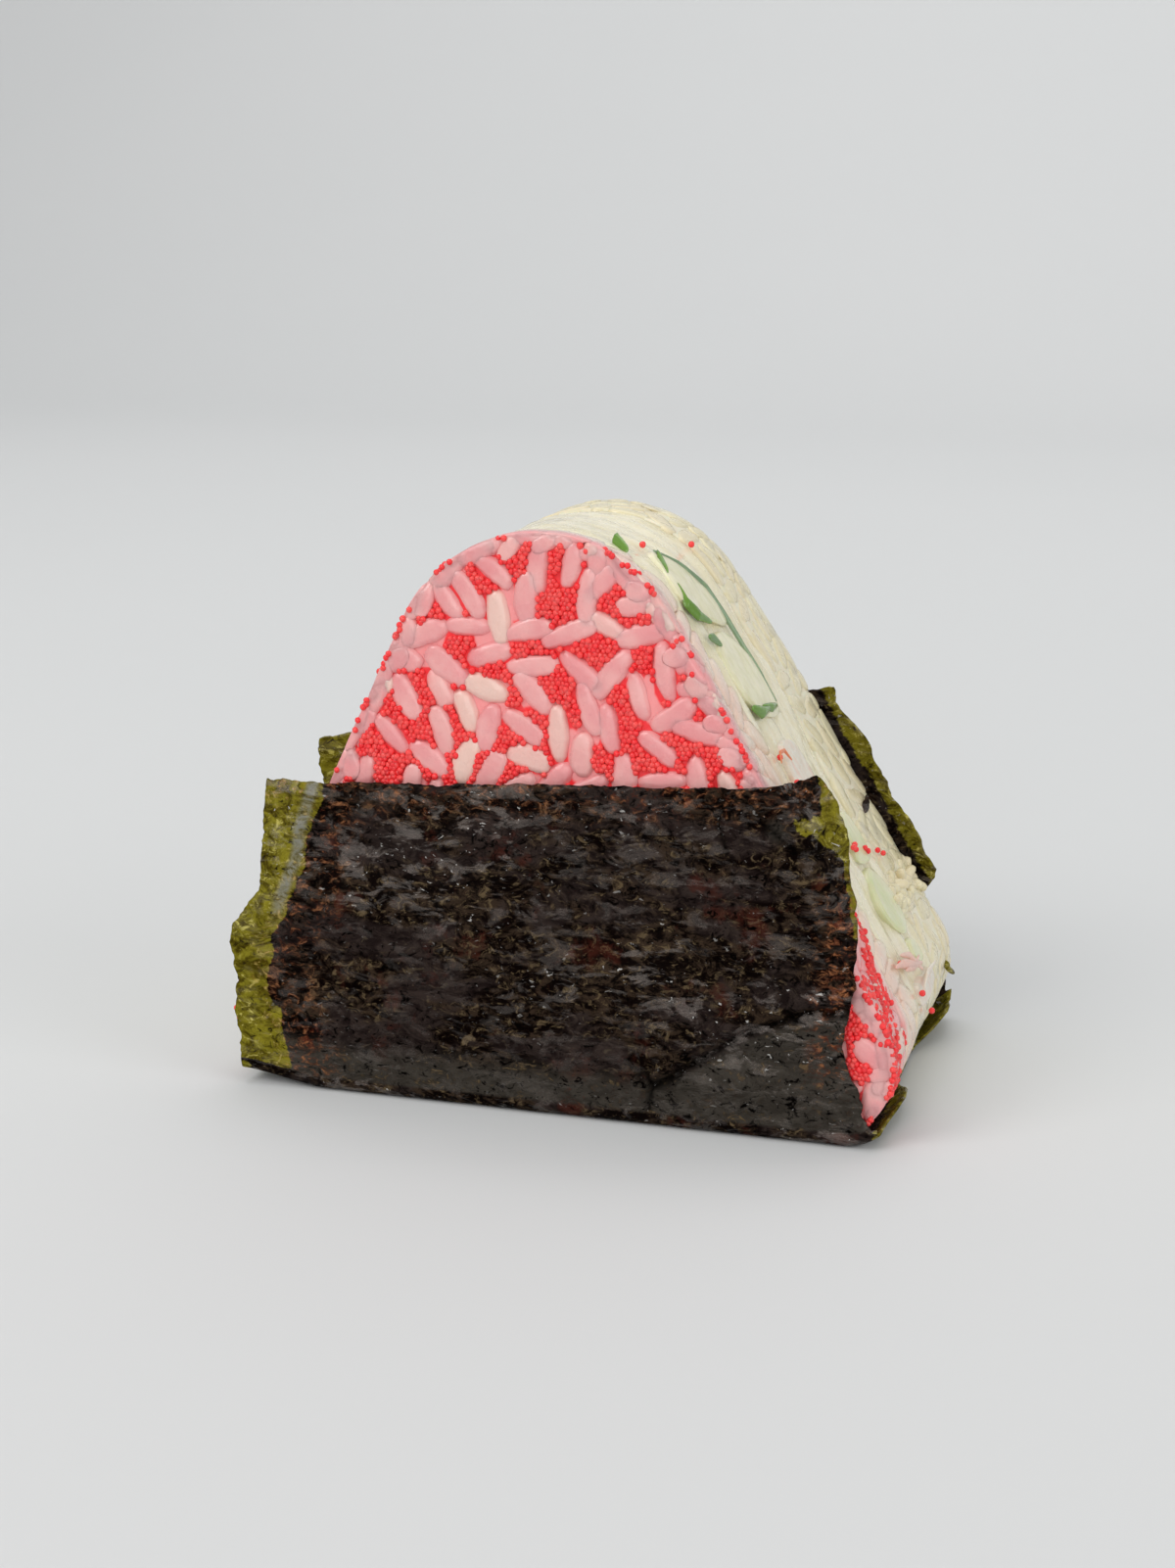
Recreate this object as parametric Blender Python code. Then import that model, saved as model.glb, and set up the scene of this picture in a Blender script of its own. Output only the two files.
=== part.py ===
"""Shrimp and crab onigiri: two slabs of pressed rice round a filling of cream, cucumber and crab,
held in a skewed band of nori. Metres, +Z up, the pink face towards -Y, origin on the floor under
the middle."""

import math
import random

import bmesh
import bpy
from mathutils import Matrix, Vector, noise

# Rice block: the taut outline round three discs, seen from the front
APEX_X = -0.0035
APEX_Z = 0.0525
APEX_RADIUS = 0.0195
FOOT_X = 0.034
FOOT_Z = 0.0098
FOOT_RADIUS = 0.009
MIDDLE_X = -0.001
MIDDLE_Z = 0.030
BLOCK_HEIGHT = 0.072
OUTLINE_LENGTH = 0.245
OUTLINE_REACH = 0.050

# Depth of the block and of its layers
BASE_DEPTH = 0.050
FACE_LEAN = 0.104
FRONT_SEAM_BASE = -0.0030
FRONT_SEAM_LEAN = -0.150
BACK_SEAM_BASE = 0.0094
BACK_SEAM_LEAN = -0.018
SEAM_WAVE = 0.0006
SEAM_WAVELENGTH = 0.026
GAP = 0.0003

# Rice
GRAIN_LENGTH = 0.0063
GRAIN_WIDTH = 0.0031
GRAIN_DEPTH = 0.0026
GRAIN_SIZE_SPREAD = 0.12
GRAIN_TILT = 0.20
GRAIN_TRIES = 12
GRAIN_ROOM = 0.0028
GRAIN_SINK = 0.0003
GRAIN_OVERHANG = 0.0003
FACE_SPACING = 0.0040
SIDE_SPACING = 0.0050
GRAIN_SIDES = 5
GRAIN_RINGS = 4
CORE_INSET = 0.0016
CORE_BUMP = 0.0002
CORE_BUMP_SIZE = 0.003
OUTLINE_POINTS = 40
RIM_ROUND = 0.0016
SEAM_RIM = 0.0004
OPEN_RINGS = (0.3, 0.62)

# Filling: each stick's section as (y, z) corners, from the front round to the back
CREAM_INSET = 0.0003
STICK_PROUD = 0.0004
HOLLOW_PROUD = 0.004
CUCUMBER_SECTIONS = (
    ((-0.0102, 0.0630), (-0.0090, 0.0665), (-0.0055, 0.0684), (0.0000, 0.0652), (0.0014, 0.0610),
     (0.0006, 0.0585), (-0.0050, 0.0600)),
    ((-0.0090, 0.0515), (-0.0080, 0.0570), (-0.0030, 0.0582), (0.0008, 0.0556), (0.0020, 0.0500),
     (0.0012, 0.0474), (-0.0050, 0.0482)),
    ((0.0012, 0.0285), (0.0024, 0.0330), (0.0056, 0.0338), (0.0072, 0.0305), (0.0060, 0.0278)),
    ((-0.0008, 0.0225), (0.0010, 0.0262), (0.0046, 0.0268), (0.0072, 0.0232), (0.0066, 0.0192),
     (0.0024, 0.0190)),
    ((0.0024, 0.0152), (0.0028, 0.0176), (0.0056, 0.0174), (0.0060, 0.0150)),
)
CRAB_SECTIONS = (
    ((-0.0064, 0.0385), (-0.0066, 0.0425), (-0.0040, 0.0446), (0.0000, 0.0440), (0.0012, 0.0410),
     (-0.0006, 0.0376)),
    ((-0.0030, 0.0112), (-0.0026, 0.0134), (0.0020, 0.0138), (0.0070, 0.0132), (0.0072, 0.0114),
     (0.0020, 0.0108)),
)

# Nori band: edges as (height, x) pairs on each panel, and as (y, x) pairs underneath
NORI_THICKNESS = 0.0004
NORI_OFFSET = 0.0006
NORI_FOLD = 0.0015
NORI_WAVE = 0.0006
NORI_WAVE_SIZE = 0.014
NORI_COLUMNS = 18
NORI_PANEL_ROWS = 10
NORI_FOLD_ROWS = 3
NORI_BASE_ROWS = 5
FRONT_LEFT_EDGE = ((0.000, -0.0416), (0.012, -0.0424), (0.021, -0.0434), (0.0276, -0.0396),
                   (0.040, -0.0402))
FRONT_RIGHT_EDGE = ((0.000, 0.0410), (0.005, 0.0390), (0.013, 0.0366), (0.021, 0.0376),
                    (0.029, 0.0380), (0.037, 0.0384), (0.042, 0.0364))
BACK_LEFT_EDGE = ((0.000, -0.0430), (0.037, -0.0490))
BACK_RIGHT_EDGE = ((0.000, 0.0425), (0.006, 0.0418), (0.0165, 0.0386), (0.019, 0.0402),
                   (0.0232, 0.0382), (0.0306, 0.0334), (0.0352, 0.0314), (0.0416, 0.0262))
BASE_RIGHT_EDGE = ((-0.025, 0.0410), (-0.014, 0.0428), (-0.002, 0.0398), (0.008, 0.0398),
                   (0.018, 0.0434), (0.025, 0.0425))
BASE_LEFT_X = -0.0425
FRONT_TOP_Z = 0.0415
FRONT_TOP_SLOPE = 0.056
BACK_TOP_Z = 0.0434
BACK_TOP_SLOPE = 0.136
GRAINS_BELOW_NORI = 0.003
FRONT_BARE_X = 0.0335

# How each side of a panel curls past the rice: degrees, the heights where the curl starts and is
# full, the bend's radius, and how far past the slope it starts
FRONT_RIGHT_CURL = (60, 0.017, 0.025, 0.0020, 0.0006)
FRONT_LEFT_CURL = (22, 0.012, 0.034, 0.0060, 0.0006)
BACK_RIGHT_CURL = (30, 0.020, 0.028, 0.0040, 0.0008)
BACK_LEFT_CURL = (34, 0.006, 0.030, 0.0100, 0.0008)

# Loose edges of the sheet on the floor
FLAP_START_X = 0.0372
FLAP_LENGTH = 0.006
FLAP_RISE = 0.0036
CORNER_START_X = -0.030
CORNER_END_X = -0.042
CORNER_START_Y = -0.010
CORNER_END_Y = -0.022
CORNER_RISE = 0.0016
LIFT_FADE = 0.012


def smooth(low, high, value):
    """0 at low, 1 at high, and an even S between them."""
    t = min(max((value - low) / (high - low), 0.0), 1.0)
    return t * t * (3.0 - 2.0 * t)


def along_table(table, value):
    """The table's second value at a place along its first, on soft steps between its rows."""
    if value <= table[0][0]:
        return table[0][1]
    for (start, low), (end, high) in zip(table, table[1:]):
        if value <= end:
            return low + (high - low) * smooth(start, end, value)
    return table[-1][1]


def wave(x, y, z, size):
    """A soft random value from -1 to 1 that repeats on each run."""
    return noise.noise(Vector((x, y, z)) / size)


def support(angle, inset=0.0):
    """How far the outline reaches along a direction in the XZ plane."""
    reach = []
    for x, z, radius in ((APEX_X, APEX_Z, APEX_RADIUS), (FOOT_X, FOOT_Z, FOOT_RADIUS),
                         (-FOOT_X, FOOT_Z, FOOT_RADIUS)):
        reach.append(x * math.cos(angle) + z * math.sin(angle) + radius - inset)
    return max(reach)


def outside(x, z):
    """How far a place lies outside the outline, less than 0 inside it."""
    furthest = -1.0
    for degrees in range(0, 360, 6):
        angle = math.radians(degrees)
        furthest = max(furthest, x * math.cos(angle) + z * math.sin(angle) - support(angle))
    return furthest


def slope_x(z, side):
    """X of the rice's slope at a height, on the right (1) or left (-1)."""
    nearest = 1.0
    for degrees in range(-88, 89, 4):
        angle = math.radians(degrees)
        outward = angle if side > 0 else math.pi - angle
        nearest = min(nearest, (support(outward) - z * math.sin(angle)) / math.cos(angle))
    return side * nearest


def outline_point(angle, inset=0.0):
    """Where a ray from the block's middle leaves the outline."""
    best = 1.0
    for degrees in range(0, 360, 3):
        normal = math.radians(degrees)
        facing = math.cos(normal - angle)
        if facing > 0.05:
            room = support(normal, inset) - MIDDLE_X * math.cos(normal) - MIDDLE_Z * math.sin(normal)
            best = min(best, room / facing)
    return MIDDLE_X + best * math.cos(angle), MIDDLE_Z + best * math.sin(angle)


def outline(count, inset):
    """Points evenly spaced along the outline, which keeps its full depth underneath."""
    fine = [outline_point(2 * math.pi * i / (count * 8), inset) for i in range(count * 8)]
    lengths = [0.0]
    for here, there in zip(fine, fine[1:] + fine[:1]):
        lengths.append(lengths[-1] + math.dist(here, there))
    points = []
    step = 0
    for i in range(count):
        goal = lengths[-1] * i / count
        while lengths[step + 1] < goal:
            step += 1
        t = (goal - lengths[step]) / (lengths[step + 1] - lengths[step])
        here = fine[step]
        there = fine[(step + 1) % len(fine)]
        x = here[0] + (there[0] - here[0]) * t
        z = here[1] + (there[1] - here[1]) * t
        points.append((x, z - inset * (1.0 - smooth(FOOT_Z - FOOT_RADIUS, FOOT_Z, z))))
    return points


def front_face(x, z):
    return -BASE_DEPTH / 2 + FACE_LEAN * z


def back_face(x, z):
    return BASE_DEPTH / 2 - FACE_LEAN * z


def front_seam(x, z):
    return FRONT_SEAM_BASE + FRONT_SEAM_LEAN * z + SEAM_WAVE * wave(x, 0.0, z, SEAM_WAVELENGTH)


def back_seam(x, z):
    return BACK_SEAM_BASE + BACK_SEAM_LEAN * z + SEAM_WAVE * wave(x, 0.1, z, SEAM_WAVELENGTH)


def shifted(face, step):
    """The same face moved along Y."""
    return lambda x, z: face(x, z) + step


def front_cover(x):
    """The height above which the front face's grains are made: the nori hides the rest, but for
    a strip along the right."""
    if x > FRONT_BARE_X:
        return 0.0
    return FRONT_TOP_Z + FRONT_TOP_SLOPE * x - GRAINS_BELOW_NORI


def back_cover(x):
    """The height above which the back face's grains are made."""
    return BACK_TOP_Z + BACK_TOP_SLOPE * x - GRAINS_BELOW_NORI


def material(name, colour, roughness):
    mat = bpy.data.materials.new(name)
    mat.use_nodes = True
    shader = mat.node_tree.nodes["Principled BSDF"]
    shader.inputs["Base Color"].default_value = (*colour, 1.0)
    shader.inputs["Roughness"].default_value = roughness
    shader.inputs["Metallic"].default_value = 0.0
    return mat


def new_object(name, bm, mat):
    mesh = bpy.data.meshes.new(name)
    bm.to_mesh(mesh)
    bm.free()
    mesh.materials.append(mat)
    obj = bpy.data.objects.new(name, mesh)
    bpy.context.scene.collection.objects.link(obj)
    return obj


def ring_edges(bm, points):
    """A closed ring of edges through the points."""
    verts = [bm.verts.new(point) for point in points]
    return [bm.edges.new((here, there)) for here, there in zip(verts, verts[1:] + verts[:1])]


def close_ring(bm, edges):
    """Fills the ring with triangles that meet in its middle."""
    face = bmesh.ops.edgeloop_fill(bm, edges=edges)["faces"]
    bmesh.ops.poke(bm, faces=face)


def bridge(bm, rings):
    for here, there in zip(rings, rings[1:]):
        bmesh.ops.bridge_loops(bm, edges=here + there)


def slab(near, far, inset, near_round=SEAM_RIM, far_round=SEAM_RIM):
    """A slab of the block between two faces, each given as y at (x, z), with rounded rims. A face
    with a wide rim is an open one and gets rings of points across it."""
    bm = bmesh.new()
    edge = outline(OUTLINE_POINTS, inset)
    rings = []
    for face, soft, order in ((near, near_round, 1), (far, far_round, -1)):
        part = []
        across = OPEN_RINGS if soft > SEAM_RIM else ()
        for share in (*across, 1.0 - soft / OUTLINE_REACH):
            points = []
            for x, z in edge:
                px = MIDDLE_X + (x - MIDDLE_X) * share
                pz = MIDDLE_Z + (z - MIDDLE_Z) * share
                points.append((px, face(px, pz), pz))
            part.append(ring_edges(bm, points))
        part.append(ring_edges(bm, [(x, face(x, z) + soft * order, z) for x, z in edge]))
        rings += part[::order]
    bridge(bm, rings)
    close_ring(bm, rings[0])
    close_ring(bm, rings[-1])
    bmesh.ops.recalc_face_normals(bm, faces=bm.faces)
    bmesh.ops.triangulate(bm, faces=bm.faces)
    return bm


def roughen(bm, seam):
    """Gives all but a slab's seam face the low bumps of packed rice and roe."""
    bm.normal_update()
    for vert in bm.verts:
        x, y, z = vert.co
        if abs(y - seam(x, z)) > SEAM_RIM * 1.5:
            vert.co += vert.normal * CORE_BUMP * wave(x, y, z, CORE_BUMP_SIZE)


def axis_points(centre, along, length):
    """Places along the middle of a grain."""
    reach = (length - GRAIN_WIDTH) / 2
    return [centre + along * reach * share for share in (-1.0, -0.5, 0.0, 0.5, 1.0)]


def within(points):
    """True where a grain's ends stay inside the block's outline."""
    limit = GRAIN_OVERHANG - GRAIN_WIDTH / 2
    return all(outside(point.x, point.z) < limit for point in (points[0], points[-1]))


def clearance(points, placed):
    """The least distance from a grain's middle line to those of the grains placed before."""
    least = 1.0
    for others in placed:
        if (others[2] - points[2]).length < GRAIN_LENGTH * 1.3:
            least = min(least, *((p - q).length for p in points for q in others))
    return least


def scatter(spots, rng):
    """Grains laid on the spots, each turned to where it has most room, as (centre, along, outward,
    length). A spot with too little room stays empty."""
    rng.shuffle(spots)
    placed = []
    grains = []
    for point, run, outward in spots:
        on_face = abs(outward.y) > 0.5
        length = GRAIN_LENGTH * (1.0 + rng.uniform(-GRAIN_SIZE_SPREAD, GRAIN_SIZE_SPREAD))
        centre = point - outward * (GRAIN_DEPTH / 2 + rng.uniform(0.0001, GRAIN_SINK))
        across = outward.cross(run)
        best = None
        room = GRAIN_ROOM
        for _ in range(GRAIN_TRIES):
            turn = rng.uniform(0.0, math.pi)
            along = run * math.cos(turn) + across * math.sin(turn)
            along = (along + outward * rng.uniform(-GRAIN_TILT, GRAIN_TILT)).normalized()
            points = axis_points(centre, along, length)
            if on_face and not within(points):
                continue
            free = clearance(points, placed)
            if free > room:
                best, room = (along, points), free
        if best:
            placed.append(best[1])
            grains.append((centre, best[0], outward, length))
    return grains


def grain(centre, along, outward, length):
    """A rice grain as a long ball with few sides."""
    side = outward.cross(along).normalized()
    turn = Matrix((side, along.cross(side), along)).transposed().to_4x4()
    size = Matrix.Diagonal((GRAIN_WIDTH, GRAIN_DEPTH, length, 1.0))
    bm = bmesh.new()
    bmesh.ops.create_uvsphere(bm, u_segments=GRAIN_SIDES, v_segments=GRAIN_RINGS, radius=0.5,
                              matrix=Matrix.Translation(centre) @ turn @ size)
    return bm


def face_spots(open_face, facing, seen_above, rng):
    """Even, slightly shaken places over an open face, as (point, run, outward)."""
    outward = Vector((0.0, facing, FACE_LEAN)).normalized()
    run = Vector((1.0, 0.0, 0.0))
    rise = FACE_SPACING * math.cos(math.radians(30))
    columns = int(FOOT_X / FACE_SPACING) + 3
    spots = []
    for row in range(int(BLOCK_HEIGHT / rise) + 1):
        for column in range(-columns, columns + 1):
            x = (column + 0.5 * (row % 2) + rng.uniform(-0.15, 0.15)) * FACE_SPACING
            z = row * rise + rng.uniform(-0.15, 0.15) * FACE_SPACING
            if outside(x, z) < -GRAIN_WIDTH * 0.45 and z > seen_above(x):
                spots.append((Vector((x, open_face(x, z), z)), run, outward))
    return spots


def side_spots(near, far, rng):
    """Places over the slopes of a slab, with the slope's direction, as (point, run, outward)."""
    count = int(OUTLINE_LENGTH / SIDE_SPACING)
    edge = outline(count, 0.0)
    spots = []
    for i, (x, z) in enumerate(edge):
        before = edge[i - 1]
        after = edge[(i + 1) % count]
        run = Vector((after[0] - before[0], 0.0, after[1] - before[1])).normalized()
        outward = Vector((run.z, 0.0, -run.x))
        low = near(x, z) + GRAIN_WIDTH * 0.55
        high = far(x, z) - GRAIN_WIDTH * 0.55
        across = max(1, round((high - low) / SIDE_SPACING) + 1)
        for j in range(across):
            y = low + (high - low) * (j + 0.5 * (i % 2)) / across
            y += rng.uniform(-0.1, 0.1) * SIDE_SPACING
            spots.append((Vector((x, y, z)), run, outward))
    return spots


def fits(bm, near, far):
    """True where a grain stays between a slab's two faces."""
    for vert in bm.verts:
        x, y, z = vert.co
        if y < near(x, z) or y > far(x, z) or z < FOOT_Z - FOOT_RADIUS:
            return False
    return True


def rice_slab(name, near, far, facing, seen_above, mat, seed):
    """One slab of rice, open towards -Y (facing -1) or +Y (1): a smooth core with the grains that
    show fused on."""
    rng = random.Random(seed)
    if facing < 0:
        open_face, seam = near, far
        bm = slab(shifted(near, CORE_INSET), far, CORE_INSET, near_round=RIM_ROUND)
    else:
        open_face, seam = far, near
        bm = slab(near, shifted(far, -CORE_INSET), CORE_INSET, far_round=RIM_ROUND)
    roughen(bm, seam)
    core = new_object(name, bm, mat)
    grains = bpy.data.collections.new(name + "_grains")
    spots = face_spots(open_face, facing, seen_above, rng) + side_spots(near, far, rng)
    for centre, along, outward, length in scatter(spots, rng):
        shape = grain(centre, along, outward, length)
        if not fits(shape, near, far):
            shape.free()
            continue
        piece = new_object(name + "_grain", shape, mat)
        bpy.context.scene.collection.objects.unlink(piece)
        grains.objects.link(piece)
    combine(core, grains, "UNION")
    core.data.shade_smooth()
    return core


def shells(bm):
    """The mesh's separate closed bodies, each as a list of faces, largest first."""
    left = set(bm.faces)
    found = []
    while left:
        start = left.pop()
        body = [start]
        for face in body:
            for edge in face.edges:
                others = edge.link_faces if len(edge.link_faces) == 2 else ()
                for other in others:
                    if other in left:
                        left.remove(other)
                        body.append(other)
        found.append(body)
    return sorted(found, key=len, reverse=True)


def combine(body, pieces, operation):
    """Joins a collection's pieces to the body or cuts them from it, drops the loose scraps and
    folded slivers that this leaves, and removes the pieces."""
    bpy.context.scene.collection.children.link(pieces)
    boolean = body.modifiers.new(operation.lower(), "BOOLEAN")
    boolean.operation = operation
    boolean.operand_type = "COLLECTION"
    boolean.collection = pieces
    boolean.solver = "MANIFOLD"
    depsgraph = bpy.context.evaluated_depsgraph_get()
    bm = bmesh.new()
    bm.from_mesh(body.evaluated_get(depsgraph).data)
    bmesh.ops.triangulate(bm, faces=bm.faces)
    for scrap in shells(bm)[1:]:
        bmesh.ops.delete(bm, geom=scrap, context="FACES")
    body.modifiers.clear()
    bm.to_mesh(body.data)
    bm.free()
    for piece in list(pieces.objects):
        bpy.data.objects.remove(piece)
    bpy.data.collections.remove(pieces)


def stick(section, proud, grow=0.0):
    """A strip that runs through the block from slope to slope, cut to the slopes at its ends."""
    centre_y = sum(y for y, z in section) / len(section)
    centre_z = sum(z for y, z in section) / len(section)
    bm = bmesh.new()
    rings = []
    for side in (-1, 1):
        points = []
        for y, z in section:
            away = math.hypot(y - centre_y, z - centre_z)
            y += (y - centre_y) / away * grow
            z += (z - centre_z) / away * grow
            points.append((slope_x(z, side) + side * proud, y, z))
        rings.append(ring_edges(bm, points))
    bridge(bm, rings)
    for ring in rings:
        bmesh.ops.edgeloop_fill(bm, edges=ring)
    bmesh.ops.recalc_face_normals(bm, faces=bm.faces)
    bmesh.ops.triangulate(bm, faces=bm.faces)
    return bm


def cream(mat):
    """The soft filling between the rice slabs, hollowed for each stick."""
    bm = slab(shifted(front_seam, GAP / 2), shifted(back_seam, -GAP / 2), CREAM_INSET)
    body = new_object("cream", bm, mat)
    cutters = bpy.data.collections.new("hollows")
    for section in CUCUMBER_SECTIONS + CRAB_SECTIONS:
        cutter = new_object("hollow", stick(section, HOLLOW_PROUD, GAP), mat)
        bpy.context.scene.collection.objects.unlink(cutter)
        cutters.objects.link(cutter)
    combine(body, cutters, "DIFFERENCE")
    return body


def curled(overhang, angle, radius):
    """How far a sheet goes out and round when it bends by an angle and then runs straight."""
    arc = radius * angle
    if overhang <= arc:
        return radius * math.sin(overhang / radius), radius * (1.0 - math.cos(overhang / radius))
    rest = overhang - arc
    out = radius * math.sin(angle) + rest * math.cos(angle)
    turned = radius * (1.0 - math.cos(angle)) + rest * math.sin(angle)
    return out, turned


def panel_point(x, z, front):
    """A point of the front or back panel, which curls where it runs past the rice's slopes."""
    side = 1 if x > 0 else -1
    if front:
        curl = FRONT_RIGHT_CURL if side > 0 else FRONT_LEFT_CURL
    else:
        curl = BACK_RIGHT_CURL if side > 0 else BACK_LEFT_CURL
    degrees, low, high, radius, past = curl
    angle = math.radians(degrees) * smooth(low, high, z)
    start = abs(slope_x(max(z, FOOT_Z), side)) + past
    overhang = abs(x) - start
    turned = 0.0
    out = abs(x)
    if overhang > 0.0 and angle > 0.01:
        step, turned = curled(overhang, angle, radius)
        out = start + step
    ripple = 0.5 + 0.5 * wave(x, 0.2 if front else 0.4, z, NORI_WAVE_SIZE)
    away = NORI_OFFSET + NORI_WAVE * smooth(0.002, 0.008, z) * ripple - turned
    y = front_face(x, z) - away if front else back_face(x, z) + away
    return Vector((side * out, y, z))


def base_lift(x, y):
    """How far the sheet's loose edges stand up from the floor."""
    flap = FLAP_RISE * max(0.0, (x - FLAP_START_X) / FLAP_LENGTH) ** 2
    corner = smooth(-CORNER_START_X, -CORNER_END_X, -x) * smooth(-CORNER_START_Y, -CORNER_END_Y, -y)
    return flap + CORNER_RISE * corner


def nori_point(across, along):
    """A point of the band's middle surface: across from left to right, and along from the front
    panel's top edge (0) under the block to the back panel's top edge (1)."""
    half = NORI_THICKNESS / 2
    base_y = BASE_DEPTH / 2 + NORI_OFFSET - NORI_FOLD
    rows = 2 * NORI_PANEL_ROWS + 2 * NORI_FOLD_ROWS + NORI_BASE_ROWS
    row = along * rows
    fold_end = NORI_PANEL_ROWS + NORI_FOLD_ROWS
    front = row < rows / 2
    if front:
        left_edge, right_edge, top, slope = FRONT_LEFT_EDGE, FRONT_RIGHT_EDGE, FRONT_TOP_Z, FRONT_TOP_SLOPE
    else:
        left_edge, right_edge, top, slope = BACK_LEFT_EDGE, BACK_RIGHT_EDGE, BACK_TOP_Z, BACK_TOP_SLOPE
        row = rows - row
    fold_z = NORI_FOLD + half
    if row <= NORI_PANEL_ROWS:
        rise = 1.0 - row / NORI_PANEL_ROWS
        level = fold_z + (top - fold_z) * rise
        left = along_table(left_edge, level)
        right = along_table(right_edge, level)
        x = left + (right - left) * across
        z = fold_z + (top + slope * x - fold_z) * rise
        point = panel_point(x, z, front)
        foot_y = -BASE_DEPTH / 2 if front else BASE_DEPTH / 2
        point.z += base_lift(x, foot_y) * (1.0 - smooth(0.0, LIFT_FADE, z))
        return point
    left = left_edge[0][1]
    if row < fold_end:
        turn = (row - NORI_PANEL_ROWS) / NORI_FOLD_ROWS * math.pi / 2
        y = base_y + NORI_FOLD * math.cos(turn)
        z = half + NORI_FOLD * (1.0 - math.sin(turn))
    else:
        middle = (rows / 2 - row) / (rows / 2 - fold_end)
        y = base_y * middle
        z = half
        left += (BASE_LEFT_X - left) * (1.0 - middle)
    y = -y if front else y
    right = along_table(BASE_RIGHT_EDGE, y)
    x = left + (right - left) * across
    return Vector((x, y, z + base_lift(x, y)))


def nori(mat):
    rows = 2 * NORI_PANEL_ROWS + 2 * NORI_FOLD_ROWS + NORI_BASE_ROWS
    bm = bmesh.new()
    bmesh.ops.create_grid(bm, x_segments=NORI_COLUMNS, y_segments=rows, size=0.5)
    for vert in bm.verts:
        vert.co = nori_point(vert.co.x + 0.5, 0.5 - vert.co.y)
    bmesh.ops.triangulate(bm, faces=bm.faces)
    sheet = new_object("nori", bm, mat)
    sheet.data.shade_smooth()
    thick = sheet.modifiers.new("thickness", "SOLIDIFY")
    thick.thickness = NORI_THICKNESS
    thick.offset = 0.0
    return sheet


def build():
    for obj in list(bpy.data.objects):
        bpy.data.objects.remove(obj)
    pink_rice = material("pink_rice", (0.80, 0.36, 0.38), 0.35)
    white_rice = material("white_rice", (0.78, 0.75, 0.62), 0.40)
    cream_mat = material("cream", (0.86, 0.86, 0.78), 0.30)
    cucumber_mat = material("cucumber", (0.50, 0.66, 0.34), 0.35)
    crab_mat = material("crab", (0.88, 0.52, 0.44), 0.45)
    nori_mat = material("nori", (0.018, 0.016, 0.014), 0.40)

    rice_slab("rice_front", front_face, shifted(front_seam, -GAP / 2), -1.0, front_cover, pink_rice, 7)
    rice_slab("rice_back", shifted(back_seam, GAP / 2), back_face, 1.0, back_cover, white_rice, 8)
    cream(cream_mat)
    for number, section in enumerate(CUCUMBER_SECTIONS, 1):
        new_object("cucumber_%d" % number, stick(section, STICK_PROUD), cucumber_mat)
    for number, section in enumerate(CRAB_SECTIONS, 1):
        new_object("crab_%d" % number, stick(section, STICK_PROUD), crab_mat)
    nori(nori_mat)


build()
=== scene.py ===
import random
from math import atan2, cos, dist, exp, floor, hypot, pi, radians, sin, sqrt

import bmesh
import bpy
import numpy as np
from mathutils import Euler, Matrix, Vector, noise


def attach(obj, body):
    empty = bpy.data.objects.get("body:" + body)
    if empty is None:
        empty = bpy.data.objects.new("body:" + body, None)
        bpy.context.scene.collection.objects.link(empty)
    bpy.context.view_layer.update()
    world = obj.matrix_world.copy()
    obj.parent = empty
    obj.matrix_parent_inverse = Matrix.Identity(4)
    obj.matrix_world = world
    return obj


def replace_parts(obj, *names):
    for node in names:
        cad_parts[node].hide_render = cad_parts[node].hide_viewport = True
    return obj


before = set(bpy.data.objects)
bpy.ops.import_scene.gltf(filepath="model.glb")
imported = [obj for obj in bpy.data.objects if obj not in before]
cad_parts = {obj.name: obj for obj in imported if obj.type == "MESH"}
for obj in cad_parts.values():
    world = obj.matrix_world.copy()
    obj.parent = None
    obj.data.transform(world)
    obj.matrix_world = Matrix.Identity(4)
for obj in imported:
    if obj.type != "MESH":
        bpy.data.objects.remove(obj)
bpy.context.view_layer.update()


def mm(*places):
    """Places given in millimetres, in metres."""
    return tuple(tuple(value / 1000 for value in place) for place in places)


# The block and its layers, as in the solids
APEX_X, APEX_Z, APEX_RADIUS = -0.0035, 0.0525, 0.0195
FOOT_X, FOOT_Z, FOOT_RADIUS = 0.034, 0.0098, 0.009
MIDDLE_X, MIDDLE_Z = -0.001, 0.03
BASE_DEPTH, FACE_LEAN = 0.05, 0.104
FRONT_SEAM_BASE, FRONT_SEAM_LEAN = -0.003, -0.15
BACK_SEAM_BASE, BACK_SEAM_LEAN = 0.0094, -0.018
SEAM_WAVE, SEAM_WAVELENGTH = 0.0006, 0.026

# Clumps of roe on the pink face as (x, z, radius), from the photograph
CLUMPS = mm((-6.5, 69, 2.2), (-1, 63, 2.7), (4.5, 58, 2.2), (-1, 54, 2.1), (9.5, 62, 1.2),
            (13.5, 60.5, 1.3), (9.5, 57, 1.3), (7, 53, 1.2), (1.5, 50.5, 1.3), (8.5, 49.5, 1.6),
            (5.5, 45, 1.3), (10, 45, 1), (15.5, 47, 1), (19.5, 45.5, 1.2), (24, 43.5, 1.8), (-22, 50, 1.4),
            (-18.5, 47.5, 1.5), (-25.5, 45, 1.2), (-22.5, 42, 1.8), (-18, 62, 1.5), (-13.5, 57.5, 1.4),
            (-17, 65.5, 1.2), (-7, 47, 1.1), (-9.5, 55, 0.9), (-7, 55, 1), (-6.5, 51.5, 0.8),
            (37.2, 20.8, 1.2), (37.4, 24, 1.1), (37.6, 15.2, 0.7), (39, 9.4, 0.8), (38.2, 4.6, 0.6))

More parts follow.
